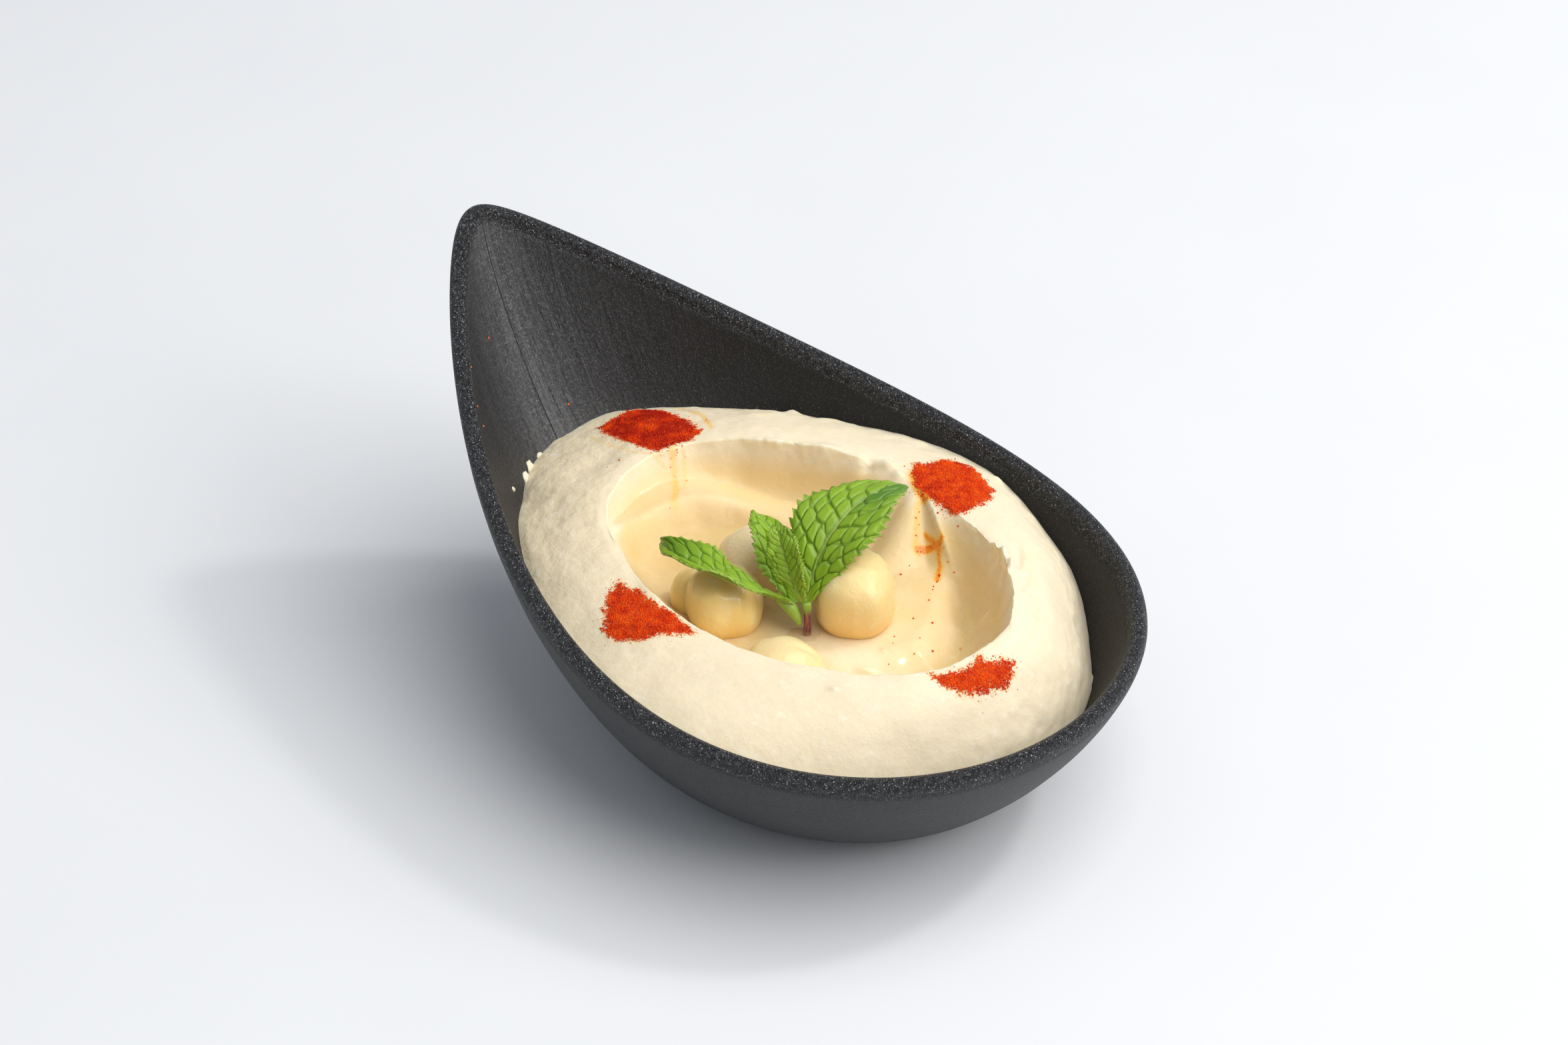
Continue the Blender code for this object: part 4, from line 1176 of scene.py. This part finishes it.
def makeWetBits():
    around = math.radians(drop["turn"])
    axes = [(math.cos(around), math.sin(around), 0.0), (-math.sin(around), math.cos(around), 0.0), (0.0, 0.0, 1.0)]
    grid = blobPoints(drop["middle"], drop["size"], axes, 5.0, rough=0.35)
    thick = ease((grid[..., 2] / mm - drop["middle"][2]) / drop["size"][2])
    shell("oilDrop", grid, dropOil(), {"thick": thick})
    paste = hummusPaste()
    for name, (middle, size, tilt) in smears.items():
        spot, along, up, normal = wallAxes(middle)
        lean = math.radians(tilt)
        first = along * math.cos(lean) + up * math.sin(lean)
        second = up * math.cos(lean) - along * math.sin(lean)
        grid = blobPoints(spot / mm, size, [first, second, normal], len(name), rough=0.35)
        shell(name, grid, paste, {"oiled": np.full(grid.shape[:2], 0.3), "patch": np.full(grid.shape[:2], -4.0)})
    crumbs = paprikaGrain()
    for count, middle in enumerate(wallCrumbs):
        spot, along, up, normal = wallAxes(middle)
        grid = blobPoints(spot / mm, (0.20, 0.16, 0.14), [along, up, normal], count, rough=0.5, rows=10, columns=12)
        shell("wallCrumb" + str(count + 1), grid, crumbs, {"tone": np.full(grid.shape[:2], 0.9)})


# Paprika grains: small eight-sided crumbs laid on the patches and along their drips

def paprikaGrain():
    paint = Paint("paprikaGrain", roughness=0.6, specular=0.15)
    tone = paint.mask("tone")
    stops = [(0.0, (0.42, 0.010, 0.0, 1.0)), (0.45, (0.84, 0.055, 0.001, 1.0)), (1.0, (0.95, 0.18, 0.004, 1.0))]
    paint.feed("Base Color", paint.node("ShaderNodeValToRGB", {"stops": stops}, {"Fac": tone}))
    paint.feed("Roughness", 0.5 + 0.3 * tone)
    return paint


def makeGrains(grid, normal, patch, drip, count=24000):
    # places drawn on the mound's grid with odds by patch mask and area, set half in the surface
    rows, columns, _ = grid.shape
    here = grid[:-1]
    area = np.linalg.norm(np.cross(np.roll(here, -1, axis=1) - here, grid[1:] - here), axis=-1)
    clumps = 0.5 + 0.5 * ease(0.5 + 1.6 * cloudy(here, 0.9 * mm, 2))
    scattered = 0.012 * ease((patchNear(here) + 2.0) / 2.0) + 0.05 * (drip[:-1] ** 2)
    odds = area * (patch[:-1] ** 1.5 * clumps + scattered)
    odds = (odds / odds.sum()).ravel()
    pick = chance.choice(len(odds), size=count, p=odds)
    row, column = pick // columns, pick % columns
    a, b = chance.random(count)[:, None], chance.random(count)[:, None]
    beside = (column + 1) % columns
    lower = grid[row, column] * (1 - a) + grid[row, beside] * a
    upper = grid[row + 1, column] * (1 - a) + grid[row + 1, beside] * a
    spot = lower * (1 - b) + upper * b
    up = normal[row, column]
    loose = np.array(specks) * mm
    gap = np.linalg.norm(grid[None, ..., :2] - loose[:, None, None], axis=-1).reshape(len(loose), -1)
    nearest = gap.argmin(axis=1)
    spot[:len(loose)] = grid.reshape(-1, 3)[nearest]
    up[:len(loose)] = normal.reshape(-1, 3)[nearest]
    size = (0.07 + 0.10 * chance.random(count) ** 2) * mm
    size[:len(loose)] = (0.13 + 0.10 * chance.random(len(loose))) * mm
    crumb = np.array([(1, 0, 0), (0, 1, 0), (-1, 0, 0), (0, -1, 0), (0, 0, 1), (0, 0, -1)], float)
    crumbFaces = np.array([(0, 1, 4), (1, 2, 4), (2, 3, 4), (3, 0, 4), (1, 0, 5), (2, 1, 5), (3, 2, 5), (0, 3, 5)])
    angle = chance.normal(size=(count, 4))
    angle /= np.linalg.norm(angle, axis=-1, keepdims=True)
    w, x, y, z = angle.T
    turn = np.stack([
        1 - 2 * (y * y + z * z), 2 * (x * y - z * w), 2 * (x * z + y * w),
        2 * (x * y + z * w), 1 - 2 * (x * x + z * z), 2 * (y * z - x * w),
        2 * (x * z - y * w), 2 * (y * z + x * w), 1 - 2 * (x * x + y * y),
    ], axis=-1).reshape(-1, 3, 3)
    stretch = 0.6 + 0.8 * chance.random((count, 1, 3))
    points = (crumb[None] * stretch) @ turn.transpose(0, 2, 1) * size[:, None, None]
    points = points + (spot + up * (size * 0.25)[:, None])[:, None]
    faces = (np.arange(count)[:, None, None] * 6 + crumbFaces[None]).reshape(-1, 3)
    shade = 0.50 * chance.random(count) + 0.45 * (0.5 + 0.9 * cloudy(spot, 1.4 * mm, 2)) - 0.45 * wetRed(spot)
    tone = np.repeat(np.clip(shade, 0.0, 1.0), 6)
    putMesh("paprikaGrains", points.reshape(-1, 3), [faces], paprikaGrain(), {"tone": tone}, smooth=False)


def patchNear(points):
    # how far inside the nearest patch (mm), below 0 outside
    x, y = points[..., 0] / mm, points[..., 1] / mm
    return np.max([insideOf(x, y, outline) for outline in patches.values()], axis=0)


def paleTable():
    paint = Paint("paleTable", roughness=0.6)
    cloud = paint.noise(60.0 * mm, detail=2.0)
    paint.feed("Base Color", paint.mix(cloud, (0.80, 0.80, 0.81), (0.84, 0.84, 0.845)))
    return paint


def makeFloor(half=3.0):
    corners = np.array([(-half, -half, 0.0), (half, -half, 0.0), (half, half, 0.0), (-half, half, 0.0)])
    mesh = bpy.data.meshes.new("table")
    mesh.from_pydata(corners.tolist(), [], [(0, 1, 2, 3)])
    mesh.materials.append(paleTable().material)
    made = bpy.data.objects.new("table", mesh)
    bpy.context.scene.collection.objects.link(made)


makeCamera()
makeLights()
makeFloor()
print("camera, light and floor are set")
makeBowl()
print("bowl made")
moundGrid, moundNormal, patchOn, dripOn = makeHummus()
print("hummus made")
makePools()
makePeas()
print("oil and chickpeas made")
makeStem()
makeLeaves()
makeWetBits()
print("mint made")
makeGrains(moundGrid, moundNormal, patchOn, dripOn)
print("paprika made")

bpy.context.scene.view_settings.view_transform = "Standard"
print(len(pieces), "pieces made")
